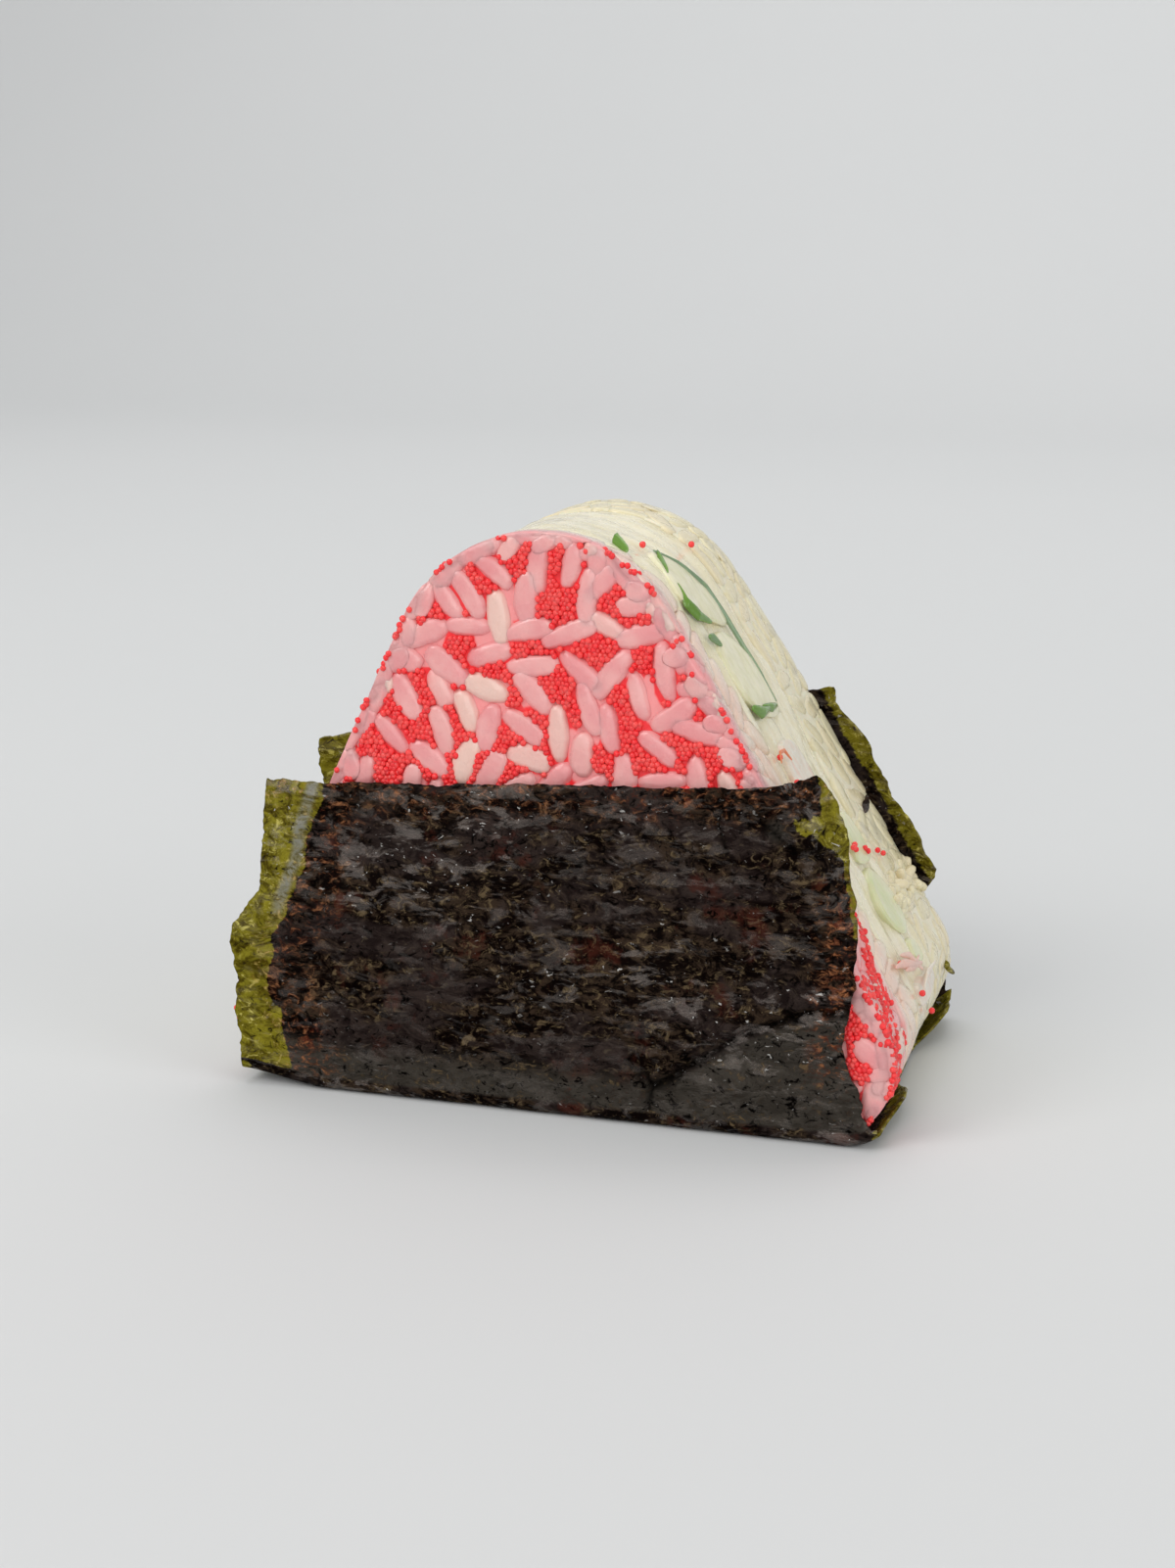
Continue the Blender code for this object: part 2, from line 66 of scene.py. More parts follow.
# Rice grains and roe
GRAIN_LENGTH, GRAIN_WIDTH, GRAIN_DEPTH = 0.0062, 0.0029, 0.0026
GRAIN_SEGMENTS, GRAIN_RINGS = 12, 9
PRESSED_WIDTH, PRESSED_SIZE = 0.0034, 1.14
SETTLE_STEPS, SLOPE_STEPS, RIM_GRAINS, FRAYED_GRAINS = 70, 480, 54, 52
# Part of a grain's width that it keeps inside a seam, and the share of that inside the outline
MARGIN, EDGE_SHARE = 0.42, 0.45
# The slopes' step about 20 mm up the right slope
FRAY_START = 458
RIM_INSET, FLUSH = 0.0011, 0.0002
PRESSED = 0.9
ROE_RADIUS = 0.00043
ROE_STEP = 0.00062
CORE_DEPTH = 0.0006
ROE_SEGMENTS, ROE_RINGS = 7, 5

CUCUMBER_SECTIONS = (
    mm((-10.2, 63), (-9, 66.5), (-5.5, 68.4), (0, 65.2), (1.4, 61), (0.6, 58.5), (-5, 60)),
    mm((-9, 51.5), (-8, 57), (-3, 58.2), (0.8, 55.6), (2, 50), (1.2, 47.4), (-5, 48.2)),
    mm((1.2, 28.5), (2.4, 33), (5.6, 33.8), (7.2, 30.5), (6, 27.8)),
    mm((-0.8, 22.5), (1, 26.2), (4.6, 26.8), (7.2, 23.2), (6.6, 19.2), (2.4, 19)),
    mm((2.4, 15.2), (2.8, 17.6), (5.6, 17.4), (6, 15)),
)
CRAB_SECTIONS = (
    mm((-6.4, 38.5), (-6.6, 42.5), (-4, 44.6), (0, 44), (1.2, 41), (-0.6, 37.6)),
    mm((-3, 11.2), (-2.6, 13.4), (2, 13.8), (7, 13.2), (7.2, 11.4), (2, 10.8)),
)

# Shreds on the right slope: points as (y, z), half thickness, peel or skin value, and how far they stand out
PEEL_SHREDS = (
    (mm((-6.2, 68.6), (-3, 66.8), (0.2, 63.4), (0.8, 60), (0.8, 56), (1.2, 52), (1.4, 48.8)),
        0.00038, 0.58, 0.0001),
    (mm((-8.8, 66.4), (-7, 67.8), (-5.2, 68.4)), 0.0005, 0.8, 0),
    (mm((-9.2, 65), (-10.4, 63), (-8.8, 61.2), (-5.6, 59.8)), 0.0007, 0.95, 0),
    (mm((-9.5, 58.8), (-8.5, 58.4), (-7, 57.2)), 0.0005, 0.75, 0),
    (mm((-9, 50), (-6.2, 48.8), (-1.6, 48.6)), 0.0007, 0.95, 0),
    (mm((-5, 49.4), (-2, 48.6), (0.8, 48.4)), 0.0006, 0.85, 0.0001),
    (mm((-12.5, 69.4), (-10.8, 70.4), (-9, 70.6)), 0.0008, 0.95, -0.0002),
)
CRAB_SHREDS = (
    (mm((-10.8, 43.6), (-9.2, 44.6), (-7.2, 44.4), (-6.2, 43)), 0.00026, 0.95, 0.0005),
    (mm((-9.4, 18.2), (-6, 17.6), (-2, 16.2), (2, 15.4)), 0.0006, 0.45, 0.0005),
    (mm((-6, 16.8), (-2, 16), (2.4, 16.2)), 0.00042, 0.55, 0.0005),
    (mm((-5, 18.4), (-1.6, 17.4), (1, 14.8)), 0.0004, 0.38, 0.0005),
    (mm((-3, 13.4), (2, 14.1), (8, 13.8)), 0.00045, 0.2, 0.0005),
)

# The band of roe down the right slope: its middle's y and its half width at heights z, from the photograph
STREAK = mm((4, -21.5), (10, -21), (16.5, -18), (19.5, -16.5), (23.5, -13), (26.5, -11.8), (28.5, -10.5))
STREAK_WIDTH = mm((4, 0.2), (10, 0.4), (15, 0.7), (20, 1.9), (23.5, 1.4), (26, 0.9), (28.5, 0.4))

# Loose roe on the filling, as (y, z)
STRAYS = mm((0.4, 30.5), (1, 30.1), (1.5, 30.6), (5, 29.3), (5.4, 28.8), (9.8, 27.8), (11.5, 27), (-7, 69.4),
            (7.5, 67.6), (-6, 17.6), (-3.2, 13), (-8, 40.6), (-9.4, 44), (2, 9))

# Nori band, as in the solids
NORI_THICKNESS = 0.0003
NORI_OFFSET, NORI_FOLD = 0.0006, 0.0015
NORI_WAVE, NORI_WAVE_SIZE = 0.0006, 0.014
PANEL_ROWS, FOLD_ROWS, BASE_ROWS = 10, 3, 5
# Torn edges: x at heights z, and under the block at y
FRONT_LEFT_EDGE = mm((0, -41.6), (12, -42.4), (21, -43.4), (27.6, -39.6), (40, -40.2))
FRONT_RIGHT_EDGE = mm((0, 41), (5, 39), (13, 36.6), (21, 37.6), (29, 38), (37, 38.4), (42, 36.4))
BACK_LEFT_EDGE = mm((0, -43), (37, -49))
BACK_RIGHT_EDGE = mm((0, 42.5), (6, 41.8), (16.5, 38.6), (19, 40.2), (23.2, 38.2), (30.6, 33.4),
                     (35.2, 31.4), (41.6, 26.2))
BASE_RIGHT_EDGE = mm((-25, 41), (-14, 42.8), (-2, 39.8), (8, 39.8), (18, 43.4), (25, 42.5))
BASE_LEFT_X = -0.0425
FRONT_TOP_Z, FRONT_TOP_SLOPE = 0.0415, 0.056
BACK_TOP_Z, BACK_TOP_SLOPE = 0.0434, 0.136
# A panel's edges, top, slope and seed, by whether it is the front one
PANELS = {True: (FRONT_LEFT_EDGE, FRONT_RIGHT_EDGE, FRONT_TOP_Z, FRONT_TOP_SLOPE, 3.0),
          False: (BACK_LEFT_EDGE, BACK_RIGHT_EDGE, BACK_TOP_Z, BACK_TOP_SLOPE, 7.0)}
# Curls of the loose sides by (front, side): degrees, the heights where they start and are full, radius, and
# how far past the rice they start
CURLS = {(True, 1): (60, 0.017, 0.025, 0.002, 0.0006), (True, -1): (22, 0.012, 0.034, 0.006, 0.0006),
         (False, 1): (30, 0.02, 0.028, 0.004, 0.0008), (False, -1): (34, 0.006, 0.03, 0.01, 0.0008)}
FLAP_START_X, FLAP_LENGTH, FLAP_RISE = 0.0372, 0.006, 0.0036
CORNER_START_X, CORNER_END_X, CORNER_START_Y, CORNER_END_Y = -0.03, -0.042, -0.01, -0.022
CORNER_RISE, LIFT_FADE = 0.0016, 0.012
NORI_COLUMNS = 190
BAND_ROWS = 2 * PANEL_ROWS + 2 * FOLD_ROWS + BASE_ROWS
NORI_VALUES = ("free", "warm", "painted_sheen", "plain_painted_grey", "crease_shade", "gloss_and_painted_highlights")
# Where the left flap's painted backlight starts, as x at heights z; past it the loose nori is painted olive
# as if lit through
LEFT_BACKLIT_EDGE = mm((0, -34.5), (4, -35), (8, -36.2), (14, -38), (19, -37.8), (23, -35.5), (32, -32.8),
                (42, -30.6))

# Folds on the front panel as (x, z) from end to end
LOWER_FOLD = mm((11.3, 3.7), (17.1, 7.8), (24.3, 12.8), (32, 16.2), (39.1, 17.2))
BASE_CRACK = mm((13.3, -1), (12.6, 2.8), (13.4, 5.2), (12.8, 7.2))
TOP_SLIT = mm((20.7, 44), (20.9, 41.2), (20.3, 38.5), (21.5, 35))
CORNER_FOLD = mm((24, 41.2), (26.2, 38.4), (29.2, 36.2), (33, 35.2))
# The small ones with the width and depth of their painted shade line
SMALL_FOLDS = ((BASE_CRACK, 0.0003, 1.0), (TOP_SLIT, 0.00028, 1.0), (CORNER_FOLD, 0.0005, 0.8))


def smooth(low, high, value):
    t = min(max((value - low) / (high - low), 0.0), 1.0)
    return t * t * (3.0 - 2.0 * t)


def bell(gap, width):
    return exp(-(gap / width) ** 2)


def along_table(table, value):
    if value <= table[0][0]:
        return table[0][1]
    for (start, low), (end, high) in zip(table, table[1:]):
        if value <= end:
            return low + (high - low) * smooth(start, end, value)
    return table[-1][1]


def wave(x, y, z, size):
    return noise.noise(Vector((x, y, z)) / size)


# Directions round the outline, each with how far the outline reaches along it
DISCS = ((APEX_X, APEX_Z, APEX_RADIUS), (FOOT_X, FOOT_Z, FOOT_RADIUS), (-FOOT_X, FOOT_Z, FOOT_RADIUS))
WAYS = [(cos(radians(degrees)), sin(radians(degrees))) for degrees in range(0, 360, 3)]
SUPPORTS = [(c, s, max(x * c + z * s + radius for x, z, radius in DISCS)) for c, s in WAYS]


def outside(x, z):
    """How far a place lies outside the block's outline, less than 0 inside it."""
    return max(x * c + z * s - reach for c, s, reach in SUPPORTS)


def slope_x(z, side):
    """X of the rice's slope at a height, on the right (1) or left (-1)."""
    return side * min((reach - z * s) / (side * c) for c, s, reach in SUPPORTS if side * c > 0.03)


def outline_point(angle, inset=0.0):
    """Where a ray from the block's middle leaves the outline."""
    best = 1.0
    for c, s, reach in SUPPORTS:
        facing = c * cos(angle) + s * sin(angle)
        if facing > 0.05:
            best = min(best, (reach - inset - MIDDLE_X * c - MIDDLE_Z * s) / facing)
    return MIDDLE_X + best * cos(angle), MIDDLE_Z + best * sin(angle)


def outline(count, inset):
    """Points evenly spaced along the outline."""
    fine = [outline_point(2 * pi * i / (count * 4), inset) for i in range(count * 4)]
    lengths = [0.0]
    for here, there in zip(fine, fine[1:] + fine[:1]):
        lengths.append(lengths[-1] + dist(here, there))
    points = []
    step = 0
    for i in range(count):
        goal = lengths[-1] * i / count
        while lengths[step + 1] < goal:
            step += 1
        t = (goal - lengths[step]) / (lengths[step + 1] - lengths[step])
        (ax, az), (bx, bz) = fine[step], fine[(step + 1) % len(fine)]
        points.append((ax + (bx - ax) * t, az + (bz - az) * t))
    return points


def front_face(x, z):
    return -BASE_DEPTH / 2 + FACE_LEAN * z


def back_face(x, z):
    return BASE_DEPTH / 2 - FACE_LEAN * z


def seam(base, lean, seed):
    return lambda x, z: base + lean * z + SEAM_WAVE * wave(x, seed, z, SEAM_WAVELENGTH)


front_seam = seam(FRONT_SEAM_BASE, FRONT_SEAM_LEAN, 0.0)
back_seam = seam(BACK_SEAM_BASE, BACK_SEAM_LEAN, 0.1)


def shifted(face, step):
    return lambda x, z: face(x, z) + step


# Materials

class Finish:
    """A Principled material and short ways to add its nodes."""

    def __init__(self, name, roughness, **sockets):
        self.mat = bpy.data.materials.new(name)
        self.mat.use_nodes = True
        self.tree = self.mat.node_tree
        self.shader = self.tree.nodes["Principled BSDF"]
        self.feed(self.shader, Roughness=roughness, **sockets)
        self.place = self.add("TexCoord", "Object")

    def feed(self, node, **sockets):
        """Sets or links sockets by name, with an underscore for each space."""
        for name, value in sockets.items():
            self.put(node.inputs[name.replace("_", " ")], value)

    def put(self, socket, value):
        if isinstance(value, bpy.types.NodeSocket):
            self.tree.links.new(value, socket)
        else:
            socket.default_value = value

    def add(self, kind, output, **sockets):
        node = self.tree.nodes.new("ShaderNode" + kind)
        self.feed(node, **sockets)
        return node.outputs[output]

    def noise(self, scale, detail=3.0, rough=0.55, vector=None, distort=0.0):
        return self.add("TexNoise", "Fac", Scale=scale, Detail=detail, Roughness=rough, Distortion=distort,
                        Vector=vector or self.place)

    def fibres(self, scales, detail, rough, distort=0.0):
        """Noise with its own scale along each axis."""
        stretched = self.add("Mapping", "Vector", Scale=scales, Vector=self.place)
        return self.noise(1.0, detail, rough, stretched, distort)

    def cells(self, scale):
        return self.add("TexVoronoi", "Distance", Scale=scale, Vector=self.place)

    def attribute(self, name):
        output = self.add("Attribute", "Fac")
        output.node.attribute_name = name
        return output

    def spread(self, value, low, high, out_low=0.0, out_high=1.0):
        output = self.add("MapRange", "Result", Value=value, From_Min=low, From_Max=high, To_Min=out_low,
                          To_Max=out_high)
        output.node.interpolation_type = "SMOOTHSTEP"
        return output

    def maths(self, kind, a, b):
        output = self.add("Math", "Value")
        output.node.operation = kind
        self.put(output.node.inputs[0], a)
        self.put(output.node.inputs[1], b)
        return output

    def times(self, a, b):
        return self.maths("MULTIPLY", a, b)

    def plus(self, a, b):
        return self.maths("ADD", a, b)

    def mix(self, amount, a, b):
        node = self.tree.nodes.new("ShaderNodeMix")
        node.data_type = "RGBA"
        self.put(node.inputs["Factor"], amount)
        for socket, value in ((node.inputs[6], a), (node.inputs[7], b)):
            self.put(socket, value if isinstance(value, bpy.types.NodeSocket) else (*value, 1.0))
        return node.outputs[2]

    def grade(self, value, low, high, a, b):
        return self.mix(self.spread(value, low, high), a, b)

    def colour(self, value):
        self.feed(self.shader, Base_Color=value)

    def rough(self, value):
        self.feed(self.shader, Roughness=value)

    def bump(self, height, strength, distance):
        self.feed(self.shader, Normal=self.add("Bump", "Normal", Strength=strength, Distance=distance,
                                               Height=height))

    def soft(self, weight, radius, scale):
        self.feed(self.shader, Subsurface_Weight=weight, Subsurface_Radius=radius, Subsurface_Scale=scale)


def rice_finish(name, pink):
    rice = Finish(name, 0.28, Specular_IOR_Level=0.45, Coat_Weight=0.35, Coat_Roughness=0.14)
    tint = rice.attribute("tint")
    cloud = rice.noise(220.0, 2.0)
    milky = rice.grade(cloud, 0.35, 0.7, (0.73, 0.66, 0.43), (0.81, 0.745, 0.52))
    milky = rice.grade(tint, 0.2, 1.0, milky, (0.77, 0.68, 0.46))
    if pink:
        behind = rice.attribute("behind")
        peach = rice.grade(cloud, 0.3, 0.7, (0.8, 0.59, 0.49), (0.84, 0.7, 0.58))
        milky = rice.grade(behind, 0.006, 0.013, peach, milky)
        rosy = rice.grade(cloud, 0.3, 0.7, (0.8, 0.31, 0.318), (0.85, 0.43, 0.415))
        rosy = rice.grade(tint, 0.74, 1.02, rosy, (0.83, 0.58, 0.5))
        rosy = rice.mix(rice.attribute("sunk"), rosy, (0.88, 0.17, 0.19))
        patchy = rice.plus(behind, rice.times(rice.noise(170.0), 0.003))
        milky = rice.grade(patchy, 0.0026, 0.0052, rosy, milky)
    rice.colour(milky)
    rice.soft(0.3, (1.0, 0.75, 0.7) if pink else (1.0, 0.95, 0.85), 0.0003)
    rice.bump(rice.noise(900.0, 3.0), 0.22, 0.0004)
    rice.rough(rice.spread(rice.noise(500.0), 0.3, 0.7, 0.2, 0.42))
    return rice.mat


def core_finish(name, pink):
    core = Finish(name, 0.32)
    lumps = core.cells(1100.0)
    milky = core.grade(core.noise(300.0), 0.35, 0.7, (0.76, 0.7, 0.5), (0.84, 0.79, 0.62))
    if pink:
        behind = core.attribute("behind")
        red = core.grade(lumps, 0.0, 0.6, (0.98, 0.06, 0.065), (0.92, 0.03, 0.04))
        rosy = core.grade(core.attribute("roe"), 0.2, 0.5, (0.92, 0.33, 0.33), red)
        peach = core.grade(behind, 0.006, 0.013, (0.86, 0.6, 0.5), milky)
        milky = core.grade(behind, 0.0015, 0.0045, rosy, peach)
    core.colour(milky)
    core.soft(0.3, (1.0, 0.6, 0.55), 0.0003)
    core.bump(lumps, 0.2, 0.0003)
    return core.mat


def roe_finish():
    roe = Finish("roe", 0.22, Specular_IOR_Level=0.4, Coat_Weight=0.15, Coat_Roughness=0.1)
    tint = roe.attribute("tint")
    roe.colour(roe.grade(tint, 0.0, 1.0, (0.96, 0.03, 0.038), (0.99, 0.085, 0.08)))
    roe.soft(0.5, (1.0, 0.3, 0.3), 0.0004)
    roe.bump(roe.noise(1500.0), 0.05, 0.0002)
    return roe.mat


def cream_finish():
    cream = Finish("cream", 0.3, Specular_IOR_Level=0.5, Coat_Weight=0.25, Coat_Roughness=0.12)
    smear = cream.fibres((110.0, 300.0, 80.0), 4.0, 0.55, 0.6)
    tone = cream.grade(smear, 0.32, 0.66, (0.79, 0.72, 0.49), (0.88, 0.83, 0.65))
    spots = cream.spread(cream.noise(330.0, 2.0), 0.67, 0.76)
    tone = cream.mix(cream.times(spots, 0.4), tone, (0.9, 0.68, 0.58))
    cream.colour(tone)
    cream.soft(0.35, (1.0, 0.9, 0.7), 0.0007)
    cream.rough(cream.spread(cream.noise(420.0), 0.35, 0.7, 0.14, 0.42))
    cream.bump(cream.fibres((420.0, 900.0, 420.0), 4.0, 0.6), 0.25, 0.0006)
    return cream.mat


def cucumber_finish():
    green = Finish("cucumber", 0.22, Specular_IOR_Level=0.5, Coat_Weight=0.3, Coat_Roughness=0.08)
    peel = green.attribute("peel")
    fibre = green.fibres((500.0, 900.0, 420.0), 3.0, 0.5)
    flesh = green.grade(fibre, 0.3, 0.7, (0.73, 0.7, 0.45), (0.84, 0.8, 0.58))
    ragged = green.plus(peel, green.times(green.plus(fibre, -0.5), 0.25))
    for low, high, shade in ((0.1, 0.42, (0.52, 0.62, 0.27)), (0.46, 0.58, (0.2, 0.3, 0.17)),
                             (0.66, 0.85, (0.13, 0.27, 0.03))):
        flesh = green.grade(ragged, low, high, flesh, shade)
    green.colour(flesh)
    green.soft(0.25, (0.8, 1.0, 0.6), 0.0006)
    green.bump(fibre, 0.3, 0.0004)
    return green.mat


def crab_finish():
    crab = Finish("crab", 0.3, Specular_IOR_Level=0.5, Coat_Weight=0.15, Coat_Roughness=0.15)
    skin = crab.attribute("skin")
    fibre = crab.fibres((300.0, 1100.0, 1100.0), 3.0, 0.6)
    meat = crab.grade(fibre, 0.3, 0.7, (0.78, 0.67, 0.55), (0.82, 0.78, 0.68))
    meat = crab.grade(skin, 0.15, 0.5, meat, (0.84, 0.5, 0.42))
    crab.colour(crab.grade(skin, 0.6, 0.9, meat, (0.78, 0.22, 0.09)))
    crab.soft(0.25, (1.0, 0.7, 0.6), 0.0006)
    crab.bump(fibre, 0.4, 0.0005)
    return crab.mat


def nori_finish():
    nori = Finish("nori", 0.4, Specular_Tint=(1.0, 0.87, 0.79, 1.0))
    mix, spread, grade, fibres = nori.mix, nori.spread, nori.grade, nori.fibres
    times, plus = nori.times, nori.plus
    free, warm, painted_sheen, plain_painted_grey, crease_shade, gloss_and_painted_highlights = [nori.attribute(name) for name in NORI_VALUES]
    wide = fibres((75.0, 75.0, 170.0), 3.0, 0.6, 0.5)
    fibre = fibres((290.0, 290.0, 500.0), 6.0, 0.72, 1.4)
    specks = fibres((600.0, 600.0, 900.0), 5.0, 0.7, 1.0)
    flecks = fibres((900.0, 900.0, 1500.0), 3.0, 0.6, 0.5)
    # Fibrous brown-black between smoother plum-grey
    brown = grade(fibre, 0.45, 0.6, (0.0028, 0.0011, 0.0009), (0.036, 0.023, 0.015))
    brown = mix(times(spread(specks, 0.54, 0.66), 0.9), brown, (0.12, 0.085, 0.046))
    plum = grade(fibre, 0.38, 0.62, (0.012, 0.0075, 0.007), (0.034, 0.024, 0.021))
    plum = mix(times(spread(specks, 0.58, 0.7), 0.6), plum, (0.085, 0.066, 0.045))
    dark = grade(wide, 0.47, 0.58, brown, plum)
    russet = spread(nori.noise(150.0, 5.0, 0.65), 0.56, 0.68)
    dark = mix(times(russet, 0.5), dark, (0.075, 0.018, 0.011))
    # Smoother nori with fewer flecks; its lighter grey is a painted sheen
    smoother = grade(fibre, 0.35, 0.65, (0.032, 0.027, 0.022), (0.054, 0.047, 0.039))
    dark = mix(times(plain_painted_grey, spread(specks, 0.66, 0.54)), dark, smoother)
    dark = grade(specks, 0.45, 0.37, dark, (0.0012, 0.0007, 0.0006))
    # Olive of light shining through the loose nori, painted in as colour where free is set
    backlit_olive = grade(fibre, 0.36, 0.62, (0.06, 0.044, 0.003), (0.235, 0.205, 0.018))
    backlit_olive = grade(specks, 0.54, 0.68, backlit_olive, (0.54, 0.48, 0.12))
    backlit_olive = grade(specks, 0.44, 0.33, backlit_olive, (0.018, 0.012, 0.003))
    patchy = plus(free, times(plus(fibre, -0.5), 1.3))
    tone = grade(patchy, 0.4, 0.6, dark, backlit_olive)
    ruddy = times(warm, spread(plus(specks, times(russet, 0.4)), 0.49, 0.66))
    copper = grade(flecks, 0.45, 0.62, (0.095, 0.019, 0.009), (0.42, 0.15, 0.06))
    tone = mix(times(ruddy, 0.8), tone, copper)
    # Painted sheen: a grey highlight strip painted along the left flap's fold
    grey = times(painted_sheen, spread(fibre, 0.4, 0.58, 0.1, 0.9))
    tone = mix(grey, tone, (0.24, 0.24, 0.21))
    # Painted shade: near-black lines in the folds and cracks
    tone = mix(times(crease_shade, 0.92), tone, (0.001, 0.0007, 0.0006))
    # Painted glints: light grey highlight flecks painted into the colour
    painted_glint = times(gloss_and_painted_highlights, spread(flecks, 0.665, 0.71))
    nori.colour(mix(painted_glint, tone, (0.48, 0.47, 0.45)))
    gloss = fibres((230.0, 230.0, 560.0), 4.0, 0.65, 0.6)
    nori.rough(spread(gloss, 0.39, 0.56, 0.17, 0.5))
    # The same mask also raises the specular, which is real gloss
    shine = times(spread(gloss, 0.39, 0.49, 1.0, 0.02), plus(0.15, gloss_and_painted_highlights))
    nori.feed(nori.shader, Specular_IOR_Level=shine)
    nori.bump(plus(fibre, times(specks, 0.5)), 0.7, 0.0007)
    return nori.mat


# Meshes

def add_object(name, data):
    made = bpy.data.objects.new(name, data)
    bpy.context.scene.collection.objects.link(made)
    return made


def floats(bm, *names):
    """New values on the vertices, for the materials to read."""
    return [bm.verts.layers.float.new(name) for name in names]


def smooth_mesh(name, bm, mat):
    mesh = bpy.data.meshes.new(name)
    bm.to_mesh(mesh)
    bm.free()
    mesh.materials.append(mat)
    mesh.shade_smooth()
    return mesh


def new_piece(name, bm, mat, slot):
    piece = add_object(name, smooth_mesh(name, bm, mat))
    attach(piece, "root")
    return piece


def skin(bm, rings):
    """A closed skin over rings of as many points each, as (vertex, ring) for each of its vertices."""
    count, last = len(rings[0]), len(rings) - 1
    ball = bmesh.ops.create_uvsphere(bm, u_segments=count, v_segments=last + 2, radius=1.0)["verts"]
    placed = []
    for vert in ball:
        x, y, z = vert.co
        row = round(atan2(hypot(x, y), z) / pi * (last + 2)) - 1
        if 0 <= row <= last:
            vert.co = rings[row][round(atan2(y, x) / (2 * pi) * count) % count]
        else:
            row = min(max(row, 0), last)
            vert.co = sum((Vector(point) for point in rings[row]), Vector()) / count
        placed.append((vert, row))
    return placed


def slab(near, far, inset, count, across, rim, face_rings):
    """A slab of the block with rings of points over both faces and across its slopes."""
    bm = bmesh.new()
    edge = outline(count, inset)

    def facing(face):
        rings = []
        for i in range(face_rings + 1):
            share = 0.04 + 0.945 * (i / face_rings) ** 0.8
            spots = [(MIDDLE_X + (x - MIDDLE_X) * share, MIDDLE_Z + (z - MIDDLE_Z) * share) for x, z in edge]
            rings.append([(x, face(x, z), z) for x, z in spots])
        return rings

    sides = []
    for step in range(across + 1):
        points = []
        for x, z in edge:
            low, high = near(x, z) + rim, far(x, z) - rim
            points.append((x, low + (high - low) * step / across, z))
        sides.append(points)
    skin(bm, facing(near) + sides + facing(far)[::-1])
    bmesh.ops.recalc_face_normals(bm, faces=bm.faces)
    bm.normal_update()
    return bm


class Heap:
    """Many small balls, each shaped and shaded by itself and then joined to the rest."""

    def __init__(self):
        self.whole = bmesh.new()
        floats(self.whole, "tint", "behind", "sunk")

    def add(self, segments, rings, radius, matrix, tint, shape=None):
        ball = bmesh.new()
        colour, behind, sunk = floats(ball, "tint", "behind", "sunk")
        bmesh.ops.create_uvsphere(ball, u_segments=segments, v_segments=rings, radius=radius, matrix=matrix)
        for vert in ball.verts:
            vert[colour] = tint
            if shape:
                shape(vert)
            x, y, z = vert.co
            vert[behind] = y - front_face(x, z) - pink_depth(x, z)
            if 0.0 < vert[behind] < 0.004:
                vert[sunk] = smooth(0.0001, 0.0012, vert[behind]) * smooth(-0.0008, -0.0022, outside(x, z))
        mesh = bpy.data.meshes.new("ball")
        ball.to_mesh(mesh)
        ball.free()
        self.whole.from_mesh(mesh)
        bpy.data.meshes.remove(mesh)


class OpenFace:
    """A slab's open face, with places on it as (x, z)."""

    def __init__(self, face, facing):
        self.face, self.facing = face, facing
        self.low, self.high = (-0.044, 0.0), (0.044, 0.073)

    def frame(self, u, v):
        """A place's point, and the directions across, up and out of the surface there."""
        outward = Vector((0.0, self.facing, FACE_LEAN)).normalized()
        rise = Vector((0.0, -self.facing * FACE_LEAN, 1.0)).normalized()
        return Vector((u, self.face(u, v), v)), Vector((1.0, 0.0, 0.0)), rise, outward

    def hem(self, dots, margin):
        """The way each place has to move to lie inside the outline."""
        normals = np.array([(c, s) for c, s, reach in SUPPORTS])
        past = dots @ normals.T - np.array([reach for c, s, reach in SUPPORTS]) + margin * EDGE_SHARE
        worst = past.argmax(1)
        return -normals[worst] * np.clip(past.max(1), 0.0, None)[:, None]


class Slopes:
    """A slab's slopes and top, with places on them as (way along the outline, y)."""

    def __init__(self, near, far):
        self.edge = outline(SLOPE_STEPS, 0.0)
        self.step = dist(self.edge[0], self.edge[1])
        self.near = np.array([near(x, z) for x, z in self.edge])
        self.far = np.array([far(x, z) for x, z in self.edge])
        self.low, self.high = (0.0, self.near.min()), (self.step * SLOPE_STEPS, self.far.max())

    def frame(self, u, v):
        i = int(u / self.step) % SLOPE_STEPS
        (x, z), (ax, az) = self.edge[i], self.edge[(i + 1) % SLOPE_STEPS]
        run = Vector((ax - x, 0.0, az - z)).normalized()
        t = u / self.step - floor(u / self.step)
        point = Vector((x + (ax - x) * t, v, z + (az - z) * t))
        return point, run, Vector((0.0, 1.0, 0.0)), Vector((run.z, 0.0, -run.x))

    def hem(self, dots, margin):
        at = (dots[:, 0] / self.step).astype(int) % SLOPE_STEPS
        move = np.zeros_like(dots)
        move[:, 1] = np.clip(self.near[at] + margin - dots[:, 1], 0.0, None)
        move[:, 1] -= np.clip(dots[:, 1] - self.far[at] + margin, 0.0, None)
        return move


